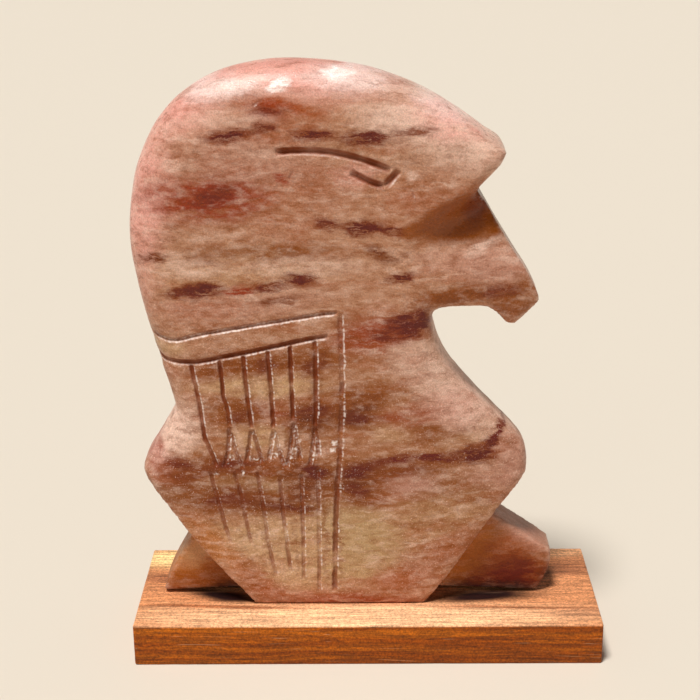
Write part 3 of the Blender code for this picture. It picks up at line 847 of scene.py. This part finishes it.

# %% [markdown]
# ## Clouds
# A viewer knows this stone by where its veins lie, so all its streaks are placed one by one. A row is a
# tone, the place where the streak starts and the place where it ends, then half its width, all in
# hundredths of the carving's height, and last its strength. The broad clouds are laid first: the pink
# crown and nape, the brown middle, and the beige foot of the chest plate.
# %% Places of the clouds
CLOUDS = [
    ("warm", -28, 24, 14, 24, 32, 0.75), ("warm", -20, 48, 6, 48, 14, 0.5),
    ("pink", -36, 92, -26, 97, 9, 0.8), ("pink", -26, 99, 6, 99, 8, 0.8),
    # The white rows on the crown are painted highlights.
    ("white", -30, 95.5, -18, 96.0, 3.4, 0.5), ("white", -7, 97.5, 6, 97.5, 4.0, 0.45),
    ("pale", 4, 92, 18, 90, 8, 0.7), ("white", 10, 94.5, 19, 90.5, 3.5, 0.6),
    ("pink", 10, 92, 15, 92, 4, 0.5), ("pink", -40, 72, -38, 86, 10, 0.8),
    ("pink", -40, 60, -39, 68, 6, 0.4), ("pale", 15, 85, 24, 86, 6, 0.6),
    ("grey pink", -30, 85, -10, 83, 8, 0.6), ("red tan", -16, 78, -3, 80, 8, 0.4),
    ("red tan", 6, 78, 15, 79, 6, 0.3), ("pink", -3, 81, 1, 82, 3, 0.4),
    ("grey pink", 18, 65, 27, 65, 6, 0.8), ("tan", -36, 64, -4, 65.5, 6, 0.5),
    ("grey pink", -36, 57, -6, 61, 5, 0.5), ("red", -4, 52.5, 7, 54, 5.5, 0.8),
    ("pale", 8, 48.5, 12, 46, 6, 0.55), ("pale", 14, 43, 22, 36, 7, 0.55),
    ("pink", 12, 40, 18, 37, 5, 0.3), ("grey pink", 26, 30, 28.5, 26, 6, 0.8),
    # The first pale row here is a painted highlight on the rounded left shoulder.
    ("pale", -37, 33, -32, 37, 6, 0.8), ("pink", -39, 31, -37, 27, 4, 0.5),
    ("grey brown", -35, 24, -8, 24, 8, 0.9), ("grey brown", -4, 25, 10, 24.5, 7, 0.6),
    ("brown", 9, 23, 22, 22, 5, 0.3), ("beige", -29, 13, -6, 12, 9, 0.85),
    ("beige", -20, 7, -2, 7, 6, 0.8), ("tan", 4, 16, 20, 17, 8, 0.7),
    ("green tan", -6, 17, 3, 14, 7, 0.8), ("green tan", -5, 9, 3, 9, 6, 0.7),
    ("red", -15, -1, 10, -0.5, 4.5, 0.8), ("red tan", 3, 5.5, 10, 5.5, 4.5, 0.7),
    ("red tan", -24, 9, -17, 2, 4, 0.7), ("orange", -32, 16, -25, 9, 5, 0.7),
    ("red tan", 12, 9, 20, 14, 5, 0.6),
]
print(len(CLOUDS), "clouds")

# %% [markdown]
# ## Bands
# The bands are narrower than the clouds and lie over them. The darkest ones cross the chest between the
# feather lines. The last few rows follow single feather lines, where the stone beside a cut is stained.
# %% Places of the bands
BANDS = [
    ("red tan", -20, 93, -7, 92, 4.0, 0.9), ("red", -18, 92.8, -12, 92.2, 2.6, 0.7),
    ("pale", -28, 90.8, -14, 91.2, 2.6, 0.4), ("pale", 0, 90.6, 10, 91, 2.6, 0.4),
    ("pink", 11, 88.7, 22, 89, 3.2, 0.5), ("red tan", -26, 88.6, -4, 88.4, 3.0, 0.6),
    ("red", -36, 77, -30, 78, 5, 0.6), ("red", -31, 77, -21, 78, 6.4, 1.0),
    ("red", -28, 78, -22, 78, 4.0, 0.6), ("red", -23, 77, -17, 77.4, 5, 0.4),
    ("red tan", 6, 77, 16, 75, 4, 0.4), ("red tan", -20, 72, -6, 72.6, 3.4, 0.4),
    ("brown", -31, 67.4, -22, 67.9, 2.6, 0.55), ("brown", -22, 68, -4, 68.4, 2.8, 0.7),
    ("pale", -35, 65, -24, 65.4, 2.8, 0.45), ("pale", -20, 65.4, -1, 65.6, 2.8, 0.45),
    ("grey pink", 8, 66.5, 18, 66.5, 3, 0.4), ("brown", 9, 60.0, 23, 60.2, 3.0, 0.9),
    ("brown", 24, 57, 29, 60.5, 4.5, 0.8), ("red tan", -37, 57.5, -20, 58, 3, 0.4),
    ("brown", -29, 47, -20, 47.6, 4.4, 0.85), ("brown", -20, 47.8, -14, 48.4, 4.0, 0.85),
    ("brown", -12, 48.2, -6, 48.8, 4.2, 0.9), ("beige", -29, 43.2, -7, 44.0, 3.2, 0.8),
    ("brown", -27, 38.4, -19, 38.6, 4.4, 0.85), ("red", -18, 39, -12, 38, 3, 0.5),
    ("dark brown", -12, 37.6, -6, 37.8, 4.2, 0.9), ("brown", -6, 41.2, 5, 42.4, 3.8, 0.85),
    ("dark brown", -3.4, 38, 1.0, 38.4, 4.6, 0.85), ("red", 4, 37.4, 11, 37.6, 3.6, 0.55),
    ("brown", 8, 34.2, 15, 33.6, 3.2, 0.6), ("beige", -24, 34, -14, 33.5, 3.2, 0.7),
    ("beige", 2, 34.4, 7, 34, 2.4, 0.4), ("beige", 14, 31.8, 20, 32.4, 2.0, 0.3),
    ("red", -39.5, 29, -37, 33, 2.4, 0.6), ("purple brown", -36, 27, -30, 27, 5.0, 0.75),
    ("purple brown", -28, 28.4, -18, 28.2, 3.6, 0.85), ("dark brown", -14, 27, -6.5, 27, 3.6, 0.85),
    ("dark brown", -3.6, 25.5, 1.2, 26, 5.5, 0.75), ("purple brown", 1, 28, 14, 27.8, 3.4, 0.75),
    ("beige", -30, 24.6, -14, 24.4, 2.4, 0.5), ("purple brown", -29, 21.6, -19, 22.4, 4.4, 0.9),
    ("dark brown", -21, 19.8, -7.5, 20.2, 3.0, 0.8), ("dark brown", -13, 23.4, -8, 23.4, 3.0, 0.7),
    ("purple brown", -3.5, 21.6, 2, 21.4, 3, 0.6), ("grey pink", 5, 24.2, 12, 24.2, 3.6, 0.7),
    ("grey pink", 20, 25.5, 27, 24, 4, 0.5), ("green tan", -37, 51.4, -32, 50.6, 2.6, 0.5),
    ("pale", 18, 67.0, 20.5, 67.8, 1.3, 0.6), ("pale", 20.5, 67.8, 23.5, 69.8, 1.2, 0.6),
    ("brown", -25.4, 42, -24.2, 28, 1.6, 0.45), ("brown", -20.9, 48, -20.0, 34, 1.3, 0.4),
    ("brown", -16.6, 50, -16.4, 40, 1.5, 0.4), ("dark brown", -12.9, 42, -12.6, 27, 1.7, 0.5),
    ("dark brown", -8.6, 51, -8.8, 28, 1.6, 0.5), ("brown", -4.6, 44, -4.8, 24, 1.3, 0.4),
    ("pale", -23.0, 37, -22.2, 30, 1.0, 0.3), ("pale", -18.6, 45, -18.2, 36, 0.9, 0.2),
    ("pale", -14.8, 36, -14.4, 30, 1.0, 0.3),
]
print(len(BANDS), "bands")

# %% [markdown]
# ## Veins
# The veins are thin and nearly black red or purple, and they break off and start again. Of the few
# pale rows among them, the two white ones are painted highlights on the crown, one is a pale spot by
# the eye, and the rest are bright seams low on the chest plate.
# %% Places of the veins
VEINS = [
    ("vein", -26, 88.2, -19, 88.6, 1.8, 0.95), ("vein", -19, 89.4, -14.5, 89.4, 1.3, 0.7),
    ("vein", -11.5, 88.4, -4.8, 88.4, 1.6, 0.95), ("vein", -3.4, 87.6, 4.4, 88.0, 2.0, 1.0),
    ("purple brown", 4.5, 88.3, 12, 89, 1.4, 0.7), ("vein", -18, 92.6, -13, 92.2, 1.4, 0.6),
    ("vein", -27.5, 77.0, -23, 79.0, 3.2, 0.6), ("vein", -7.8, 73.6, -5, 72.8, 1.8, 0.8),
    ("vein", -3.0, 72.4, 3.0, 72.2, 2.0, 1.0), ("vein", 3, 72.0, 6.4, 71.8, 1.2, 0.8),
    ("dark brown", -38.6, 66.6, -34.6, 67.0, 1.3, 0.8), ("dark brown", 1, 68.4, 4, 66.8, 2.2, 0.8),
    ("vein", 3.6, 63.2, 8.4, 64.0, 1.4, 0.9), ("vein", -34, 60.4, -29.5, 61.2, 1.3, 0.8),
    ("vein", -31, 61.1, -24.8, 61.4, 1.9, 1.0), ("red", -24, 61, -19, 61.8, 1.4, 0.8),
    ("vein", -20, 62.0, -14, 62.4, 1.3, 0.75), ("vein", -13.4, 63.2, -8.4, 63.6, 1.7, 0.95),
    ("dark brown", -19, 59.4, -11, 60, 1.2, 0.6), ("vein", 20.8, 60, 26.6, 60.6, 1.8, 0.7),
    ("vein", 6.6, 54.2, 9.8, 56.6, 4.2, 1.0), ("vein", 6, 55.2, 10.6, 55.4, 2.6, 0.9),
    ("vein", 1.4, 53.4, 5, 53, 1.6, 0.7), ("red", -14.5, 81.6, -13, 80.6, 1.0, 0.7),
    ("vein", -18.5, 47.0, -16.6, 48.2, 2.2, 0.6), ("vein", -9.4, 46.4, -7.6, 48, 2.4, 0.6),
    ("vein", -10, 27.4, -7.6, 26.6, 2.4, 1.0), ("vein", -3.4, 27, 0.6, 28, 2.6, 0.8),
    ("vein", -3, 23.4, 0, 23.2, 1.8, 0.6), ("purple", 1, 29.2, 10, 29.6, 1.2, 0.8),
    ("purple", 9, 29.6, 17.5, 29.4, 1.3, 0.9), ("vein", 16.6, 29.2, 22.4, 29.8, 2.4, 1.0),
    ("vein", 21.4, 30.2, 23.6, 32.0, 1.7, 0.95), ("purple", 23.2, 31.8, 24.8, 35.0, 1.3, 0.9),
    ("vein", -28, 21.4, -23, 22.2, 1.6, 0.6), ("vein", -27, 28.4, -22, 28.8, 1.4, 0.7),
    ("vein", -36, 28.6, -31, 28.4, 1.6, 0.6), ("vein", -12, 38.6, -6, 38.8, 1.8, 0.7),
    ("vein", -2.6, 37.2, 0.6, 37.6, 1.8, 0.7), ("vein", -18, 20.2, -10, 20, 1.2, 0.6),
    # The two white rows on the crown are painted highlights.
    ("vein", -24, 37.6, -20, 38.2, 1.6, 0.5), ("white", -15, 96.1, -12.8, 96.6, 1.3, 1.0),
    ("white", -6, 98.4, -2, 98.2, 1.2, 0.8), ("pale", 7.6, 81.6, 8.8, 81.2, 1.2, 0.6),
    ("grey brown", -7.7, 24, -7.2, 3, 0.8, 0.5), ("grey brown", -5.0, 22, -4.8, 3, 0.7, 0.5),
    ("beige", -6.3, 20, -6.0, 4, 0.6, 0.4), ("grey brown", -13.0, 18, -12.2, 5, 0.7, 0.4),
    ("beige", -15.4, 18, -14.2, 6, 0.7, 0.4), ("grey brown", -19.4, 18, -17.6, 9, 0.7, 0.4),
]
print(len(VEINS), "veins")

# %% [markdown]
# ## Painted shade under the brow, and the foot's own streaks
# The hollow under the brow is darkened with painted shade. The foot stands behind the chest plate and
# is darker, with orange stone to the left and maroon to the right; painted shade darkens it beside the
# plate, and painted shadow where it meets the board.
# %% Places of the painted shade and of the foot's streaks
# Every row here is painted shade in the hollow under the brow and the beak.
BROW_PAINTED_SHADE = [
    ("shade", 20.4, 77.6, 17.0, 73.8, 5.0, 1.0), ("shade", 19.8, 77.8, 10.5, 73.2, 3.0, 1.0),
    ("shade", 22, 71.8, 10, 71.4, 3.6, 1.0), ("deep shade", 19.8, 77, 18.4, 73.6, 3.0, 0.8),
    ("shade", 22.6, 75, 22.6, 71, 2.8, 0.7), ("shade", 12, 72.6, 6, 71.4, 2.0, 0.8),
]
# The shade, deep shade and near-black rows are painted shade beside the chest plate and painted shadow along
# the board; the maroon rows are partly red stone and partly painted shade; the rest are the foot's own
# colour.
FOOT_STREAKS_AND_SHADE = [
    ("shade", -38, 4, -24, 6, 11, 0.7), ("orange", -37, 7, -29, 12, 7, 0.9),
    ("deep shade", -30, 0, -22, 1, 4.5, 0.6), ("beige", -33.5, 7, -29.5, 10, 3.6, 0.6),
    ("brown", 16, 14, 30, 10, 10, 0.7), ("grey pink", 26, 16, 34, 11, 5, 0.8),
    ("red tan", 22, 8, 31, 9, 4, 0.5), ("orange", 12, 2, 21, 12, 6.5, 0.9),
    ("maroon", 19, 1.4, 33, 2, 5.5, 1.0), ("maroon", 25, 4.6, 31, 5, 4.5, 0.8),
    ("deep shade", 17, 7, 28, 7, 4.5, 0.4), ("deep shade", 33.5, 3, 35, 6, 2.2, 0.9),
    ("foot shadow", 16, 0, 33, 0.5, 3.0, 0.8), ("foot shadow", -30, -1, -24, 1, 3.4, 0.8),
    ("foot shadow", -36, 0, -22, 0, 2.0, 0.6),
]
print(len(BROW_PAINTED_SHADE), "stains and", len(FOOT_STREAKS_AND_SHADE), "streaks on the foot")

# %% [markdown]
# ## Bend the beds
# No edge of a vein is straight. The piece's own coordinates are first turned into hundredths of its
# height. Noise that is stretched along the beds then bends them: a broad bend for all, and a finer
# ripple on top, which is weaker for bands and veins than for clouds, because thin streaks would break up.
# %% Bent places in the stone
def stone_places(tree, place):
    """Places in the stone in hundredths of its height, straight and bent along the beds."""
    parts = add(tree, "SeparateXYZ", {"Vector": place}).outputs
    starts = {"X": MIDDLE_X, "Y": STONE_LOW.y, "Z": STONE_LOW.z}
    across, deep, up = (
        maths(tree, "MULTIPLY", maths(tree, "SUBTRACT", parts[axis], start), 100 / STONE_HEIGHT)
        for axis, start in starts.items())
    solid = add(tree, "CombineXYZ", {"X": across, "Y": deep, "Z": up}).outputs[0]
    flat = add(tree, "CombineXYZ", {"X": across, "Z": up}).outputs[0]
    bedded = vectors(tree, "MULTIPLY", solid, (0.35, 0.7, 1.0))
    bend = either_side(tree, lumps(tree, bedded, 0.22, 2.0)["Color"])
    ripple = either_side(tree, lumps(tree, bedded, 1.1, 4.0, 0.65)["Color"])
    bowed = vectors(tree, "ADD", flat, vectors(tree, "MULTIPLY", bend, (4.0, 0.0, 2.4)))
    bent = vectors(tree, "ADD", bowed, vectors(tree, "MULTIPLY", ripple, (6.0, 0.0, 3.0)))
    veined = vectors(tree, "ADD", bowed, vectors(tree, "MULTIPLY", ripple, (4.0, 0.0, 1.7)))
    waved = vectors(tree, "ADD", bent, add(tree, "CombineXYZ", {"Y": deep}).outputs[0])
    return {"deep": deep, "up": up, "solid": solid, "bedded": bedded, "bowed": bowed, "bent": bent,
            "veined": veined, "waved": waved}


# %% [markdown]
# ## Clouds, faint beds and bands
# Between the clouds lie fainter beds that nobody could place by hand, so two stretched noises draw
# them, each with a lighter and a darker side. The bands are laid over both, with soft gaps in them.
# %% Beds of the stone
def stone_beds(tree, at):
    """The stone's clouds, faint beds and bands."""
    broad = stretched(tree, at["waved"], (0.07, 0.2, 0.30))
    thin = stretched(tree, at["waved"], (0.17, 0.3, 0.75))
    colour = streaks(tree, STONE_TONES["ground"], at["bent"], 1.0, CLOUDS, STONE_TONES)
    for beds, start, full, share, name in (
            (broad, 0.54, 0.72, 0.28, "pale"), (broad, 0.52, 0.34, 0.42, "red tan"),
            (thin, 0.50, 0.70, 0.45, "brown"), (thin, 0.50, 0.30, 0.40, "pale")):
        colour = blend(tree, ramp(tree, beds, start, full, 0.0, share), colour, STONE_TONES[name])
    soft = ramp(tree, lumps(tree, at["bedded"], 0.6, 4.0, 0.6)["Fac"], 0.34, 0.62, 0.50, 1.15)
    return streaks(tree, colour, at["veined"], soft, BANDS, STONE_TONES)


# %% [markdown]
# ## Mottle, veins and painted shade
# The stone is mottled by crushed crystals, least on the crown, which was polished most. Over the mottle
# run the veins, torn into wisps by a finer noise. The foot's own streaks, partly painted shade, and the
# painted shade under the brow come last.
# %% Veins of the stone
def stone_veins(tree, at, colour, mottle, on_foot):
    """The mottled grain, the dark veins, the foot's streaks with their painted shade, and the painted shade
    under the brow, laid over a colour.
    """
    unpolished = ramp(tree, at["up"], 97.0, 88.0, 0.25, 1.0)
    bright = maths(tree, "MULTIPLY", ramp(tree, mottle, 0.46, 0.80, 0.0, 0.36), unpolished)
    dull = maths(tree, "MULTIPLY", ramp(tree, mottle, 0.54, 0.20, 0.0, 0.55), unpolished)
    colour = blend(tree, bright, colour, STONE_TONES["pale"])
    colour = blend(tree, dull, colour, STONE_TONES["brown"])
    wisps = stretched(tree, at["waved"], (0.30, 0.5, 1.6), 4.0, 0.65)
    torn = ramp(tree, wisps, 0.36, 0.60, 0.45, 1.25)
    colour = streaks(tree, colour, at["veined"], torn, VEINS, STONE_TONES)
    foot_wisps = maths(tree, "MULTIPLY", on_foot, ramp(tree, wisps, 0.36, 0.60, 0.7, 1.1))
    colour = streaks(tree, colour, at["bent"], foot_wisps, FOOT_STREAKS_AND_SHADE, STONE_TONES)
    return streaks(tree, colour, at["bowed"], 1.0, BROW_PAINTED_SHADE, STONE_TONES)


# %% [markdown]
# ## Grain and flecks
# Seen close, the stone is a fine salt and pepper of crystals, and the duller body has bright flecks in
# it. Where the stone is dark it is also redder, so the saturation rises a little as a tone darkens.
# %% Grain of the stone
def stone_grain(tree, colour, grain, body, on_foot):
    """Fine grain and bright flecks over a colour, and stronger colour where it is dark."""
    colour = recolour(tree, colour, "Value", ramp(tree, grain, 0.25, 0.75, 0.78, 1.22))
    flecks = maths(tree, "MULTIPLY", ramp(tree, grain, 0.60, 0.76, 0.0, 0.5), maths(tree, "ADD", body, 0.2))
    flecks = maths(tree, "MULTIPLY", flecks, maths(tree, "SUBTRACT", 1.0, on_foot))
    colour = blend(tree, flecks, colour, STONE_TONES["white"])
    brightness = add(tree, "RGBToBW", {"Color": colour}).outputs[0]
    return recolour(tree, colour, "Saturation", ramp(tree, brightness, 0.04, 0.25, 1.18, 1.02))


# %% [markdown]
# ## The stone's material
# The masks kept while carving put brown dirt in the cuts, pale dust beside them, with a painted
# highlight on their lower right lips, and a pale rub on the edges, which is also a painted highlight.
# The head was sanded and waxed, so it is smoother and glossier than the body. Two bumps, a fine one
# from the grain and a broad one from the mottle, break up the highlights. A little light passes under
# the surface, as it does in a waxy stone.
# %% Banded stone
STONE_DIRT = tone(122, 50, 4)


def stone_material():
    material, tree, shader, place = new_material("banded stone")
    at = stone_places(tree, place)
    mottle = stretched(tree, at["solid"], (0.5, 0.8, 1.0))
    grain = lumps(tree, at["solid"], 3.6, 3.0, 0.7)["Fac"]
    on_foot = maths(tree, "MULTIPLY", ramp(tree, at["deep"], 4.0, 4.8), ramp(tree, at["up"], 21.0, 18.0))
    body = ramp(tree, at["up"], 62.0, 44.0)
    colour = stone_veins(tree, at, stone_beds(tree, at), mottle, on_foot)
    colour = stone_grain(tree, colour, grain, body, on_foot)
    dirt, crushed_and_lit, worn = (add(tree, "Attribute", attribute_name=name).outputs["Fac"] for name in STONE_MASKS)
    # Pale rub on the worn edges, which is also a painted highlight along every edge.
    rubbed_and_highlight = maths(tree, "MULTIPLY", worn, ramp(tree, mottle, 0.40, 0.60, 0.05, 0.40))
    colour = blend(tree, rubbed_and_highlight, colour, STONE_TONES["pale"])
    colour = blend(tree, maths(tree, "MULTIPLY", dirt, 0.95), colour, STONE_DIRT)
    # Pale crushed stone in and beside the cuts, with a painted highlight on each cut's lower right lip.
    colour = blend(tree, ramp(tree, crushed_and_lit, 0.10, 0.65, 0.0, 0.80), colour, STONE_TONES["white"])
    tree.links.new(colour, shader.inputs["Base Color"])
    rough = maths(tree, "ADD", ramp(tree, mottle, 0.3, 0.7, 0.24, 0.40), maths(tree, "MULTIPLY", body, 0.16))
    loose = maths(tree, "MULTIPLY", maths(tree, "ADD", dirt, crushed_and_lit), 0.3)
    rough = maths(tree, "ADD", rough, loose, clamp=True)
    tree.links.new(rough, shader.inputs["Roughness"])
    fine = add(tree, "Bump", {"Height": grain, "Strength": 0.35, "Distance": 0.00025}).outputs[0]
    broad = add(tree, "Bump", {"Height": mottle, "Strength": 0.3, "Distance": 0.0006, "Normal": fine})
    tree.links.new(broad.outputs[0], shader.inputs["Normal"])
    shader.inputs["Specular IOR Level"].default_value = 0.35
    shader.inputs["Subsurface Weight"].default_value = 0.08
    shader.inputs["Subsurface Radius"].default_value = (1.0, 0.45, 0.3)
    shader.inputs["Subsurface Scale"].default_value = 0.002
    return material


stone.data.materials.clear()
stone.data.materials.append(stone_material())
print("stone's material:", len(stone.data.materials[0].node_tree.nodes), "nodes")

# %% [markdown]
# ## The colours of the wood
# The top of the board is lighter than its sides, partly as painted light from above, and it is
# banded, gold at the back and salmon in front. Painted shadow darkens it beside the stone's foot. The
# rows are laid out as the stone's are, but in millimetres along and across the top.
# %% Palette and bands of the board
WOOD_TONES = {
    "gold": tone(252, 214, 150), "salmon": tone(250, 196, 150), "brown": tone(150, 80, 40),
    "purple": tone(150, 92, 62), "dark": tone(84, 34, 8), "shadow by foot": tone(32, 3, 0),
    "light ring": tone(178, 94, 12), "dark ring": tone(144, 68, 3), "bleached and lit": tone(222, 154, 108),
}
BOARD_BANDS = [
    ("salmon", -80, -21, 80, -20, 14, 1.0), ("brown", -80, -13.5, -14, -14.2, 1.6, 0.8),
    ("brown", 14, -13.5, 80, -14.5, 1.6, 0.7), ("purple", -80, 6, -30, 4, 6, 0.9),
    ("purple", 34, 9, 80, 11, 7, 0.8), ("gold", -80, 19, -40, 20, 9, 1.0),
    # The two darkest rows, beside the stone's foot, are painted shadow on the board.
    ("salmon", 50, 21, 80, 22, 6, 0.5), ("shadow by foot", -58, -4.5, -34, -9, 4.6, 1.0),
    ("shadow by foot", 19, -9, 56, -4.5, 5.2, 1.0), ("purple", 54, -18, 84, -18, 7, 0.45),
]
BOARD_TOP = BOARD_HIGH.z / MILLIMETRE
print(len(BOARD_BANDS), "bands on the board's top")

# %% [markdown]
# ## The wood's material
# The board was sawn along the grain, so its rings show as long level lines on every long face. The
# rings are noise stretched far along X. Over them lie fine fibres, pale scratches and short dark pores,
# which is what tells an open hardwood from pine. The top is lighter, partly as painted light from
# above, and banded, and the sides darken towards the bottom.
# %% Oiled wood
def wood_material():
    material, tree, shader, place = new_material("oiled wood")
    measured = vectors(tree, "MULTIPLY", place, (1000.0, 1000.0, 1000.0))
    slow = vectors(tree, "MULTIPLY", measured, (0.014, 0.06, 0.06))
    wave = either_side(tree, lumps(tree, slow, 1.0, 2.0)["Color"])
    waved = vectors(tree, "ADD", measured, vectors(tree, "MULTIPLY", wave, (0.0, 5.0, 5.0)))
    rings = stretched(tree, waved, (0.012, 0.45, 0.55), 3.0)
    fibres = stretched(tree, waved, (0.05, 1.2, 1.1), 5.0, 0.85)
    scratches = stretched(tree, waved, (0.02, 2.2, 2.0), 1.0, 0.55)
    pores = stretched(tree, waved, (0.30, 3.4, 3.4), 2.0)
    dust = lumps(tree, measured, 1.4, 3.0, 0.8)["Fac"]
    parts = add(tree, "SeparateXYZ", {"Vector": measured}).outputs
    on_top = add(tree, "CombineXYZ", {"X": parts["X"], "Z": parts["Y"]}).outputs[0]
    on_top = vectors(tree, "ADD", on_top, vectors(tree, "MULTIPLY", wave, (0.0, 0.0, 10.0)))
    top = ramp(tree, parts["Z"], BOARD_TOP - 1.0, BOARD_TOP - 0.25)
    low = ramp(tree, parts["Z"], BOARD_TOP - 4.0, 0.0, 0.0, 0.30)
    colour = blend(tree, ramp(tree, rings, 0.36, 0.64), WOOD_TONES["light ring"], WOOD_TONES["dark ring"])
    # Partly painted light: the top face is made lighter than the sides, as if lit from above.
    colour = blend(tree, maths(tree, "MULTIPLY", top, 0.75), colour, WOOD_TONES["bleached and lit"])
    colour = streaks(tree, colour, on_top, top, BOARD_BANDS, WOOD_TONES)
    colour = blend(tree, low, colour, WOOD_TONES["dark"])
    dusty = ramp(tree, dust, 0.3, 0.7, 0.62, 1.38)
    lines = maths(tree, "MULTIPLY", ramp(tree, fibres, 0.34, 0.66, 0.55, 1.42), dusty)
    colour = recolour(tree, colour, "Value", lines)
    colour = blend(tree, ramp(tree, scratches, 0.67, 0.77, 0.0, 0.28), colour, WOOD_TONES["salmon"])
    open_pores = ramp(tree, pores, 0.60, 0.70, 0.0, 0.5)
    open_pores = maths(tree, "MULTIPLY", open_pores, ramp(tree, top, 1.0, 0.0, 0.35, 1.0))
    colour = blend(tree, open_pores, colour, WOOD_TONES["dark"])
    tree.links.new(colour, shader.inputs["Base Color"])
    tree.links.new(ramp(tree, fibres, 0.3, 0.7, 0.55, 0.75), shader.inputs["Roughness"])
    shader.inputs["Specular IOR Level"].default_value = 0.25
    fine = add(tree, "Bump", {"Height": fibres, "Strength": 0.5, "Distance": 0.0003}).outputs[0]
    tree.links.new(fine, shader.inputs["Normal"])
    return material


board.data.materials.clear()
board.data.materials.append(wood_material())
print("wood's material:", len(board.data.materials[0].node_tree.nodes), "nodes")

# %% [markdown]
# ## Floor
# The object stands on a plain cream floor. It is flat for four metres and then rises slowly, so that it
# also fills the background of a low view, and no edge of it is ever seen.
# %% Floor
FLOOR_SIZE = 40
FLOOR_CELLS = 80
FLAT_FLOOR = 4.0
FLOOR_RISE = 0.02
bpy.ops.object.select_all(action="DESELECT")
bpy.ops.mesh.primitive_grid_add(size=FLOOR_SIZE, x_subdivisions=FLOOR_CELLS, y_subdivisions=FLOOR_CELLS)
floor = bpy.context.object
floor.name = "floor"
floor_places = corners(floor)
past_flat = np.clip(np.hypot(floor_places[:, 0], floor_places[:, 1]) - FLAT_FLOOR, 0, None)
floor_places[:, 2] = FLOOR_RISE * past_flat ** 2
put_corners(floor, floor_places)
only(floor)
bpy.ops.object.shade_smooth()
floor_material, floor_tree, floor_shader, _ = new_material("cream floor")
floor_shader.inputs["Base Color"].default_value = tone(220, 212, 199)
floor_shader.inputs["Roughness"].default_value = 0.9
floor.data.materials.append(floor_material)
print(f"floor: {FLOOR_SIZE} m wide, rising to {floor_places[:, 2].max():.1f} m at its corners")

# %% [markdown]
# ## Light
# The light of a room's ceiling comes from high up, in front and a little to the left. It is made with a
# soft sun lamp, which also lights the floor evenly from near to far. A second, very weak and wide one
# stands for a window behind the viewer and reaches under the brow. A pale world fills the shadows.
# %% Light and world
def soft_sun(name, direction, width, power, colour):
    """A soft distant light that shines along a direction."""
    data = bpy.data.lights.new(name, "SUN")
    data.angle = math.radians(width)
    data.energy = power
    data.color = colour
    light = bpy.data.objects.new(name, data)
    light.rotation_euler = Vector(direction).to_track_quat("-Z", "Y").to_euler()
    bpy.context.scene.collection.objects.link(light)


soft_sun("ceiling light", (0.20, 0.27, -0.94), 14, 3.5, (1.0, 0.965, 0.92))
soft_sun("window light", (0.25, 0.85, -0.40), 50, 0.18, (1.0, 0.97, 0.94))
world = bpy.data.worlds.new("pale world")
world.use_nodes = True
world.node_tree.nodes["Background"].inputs["Color"].default_value = (1.0, 0.955, 0.90, 1.0)
world.node_tree.nodes["Background"].inputs["Strength"].default_value = 0.09
bpy.context.scene.world = world
bpy.context.scene.view_settings.view_transform = "Standard"
print("lights:", ", ".join(light.name for light in bpy.data.lights))
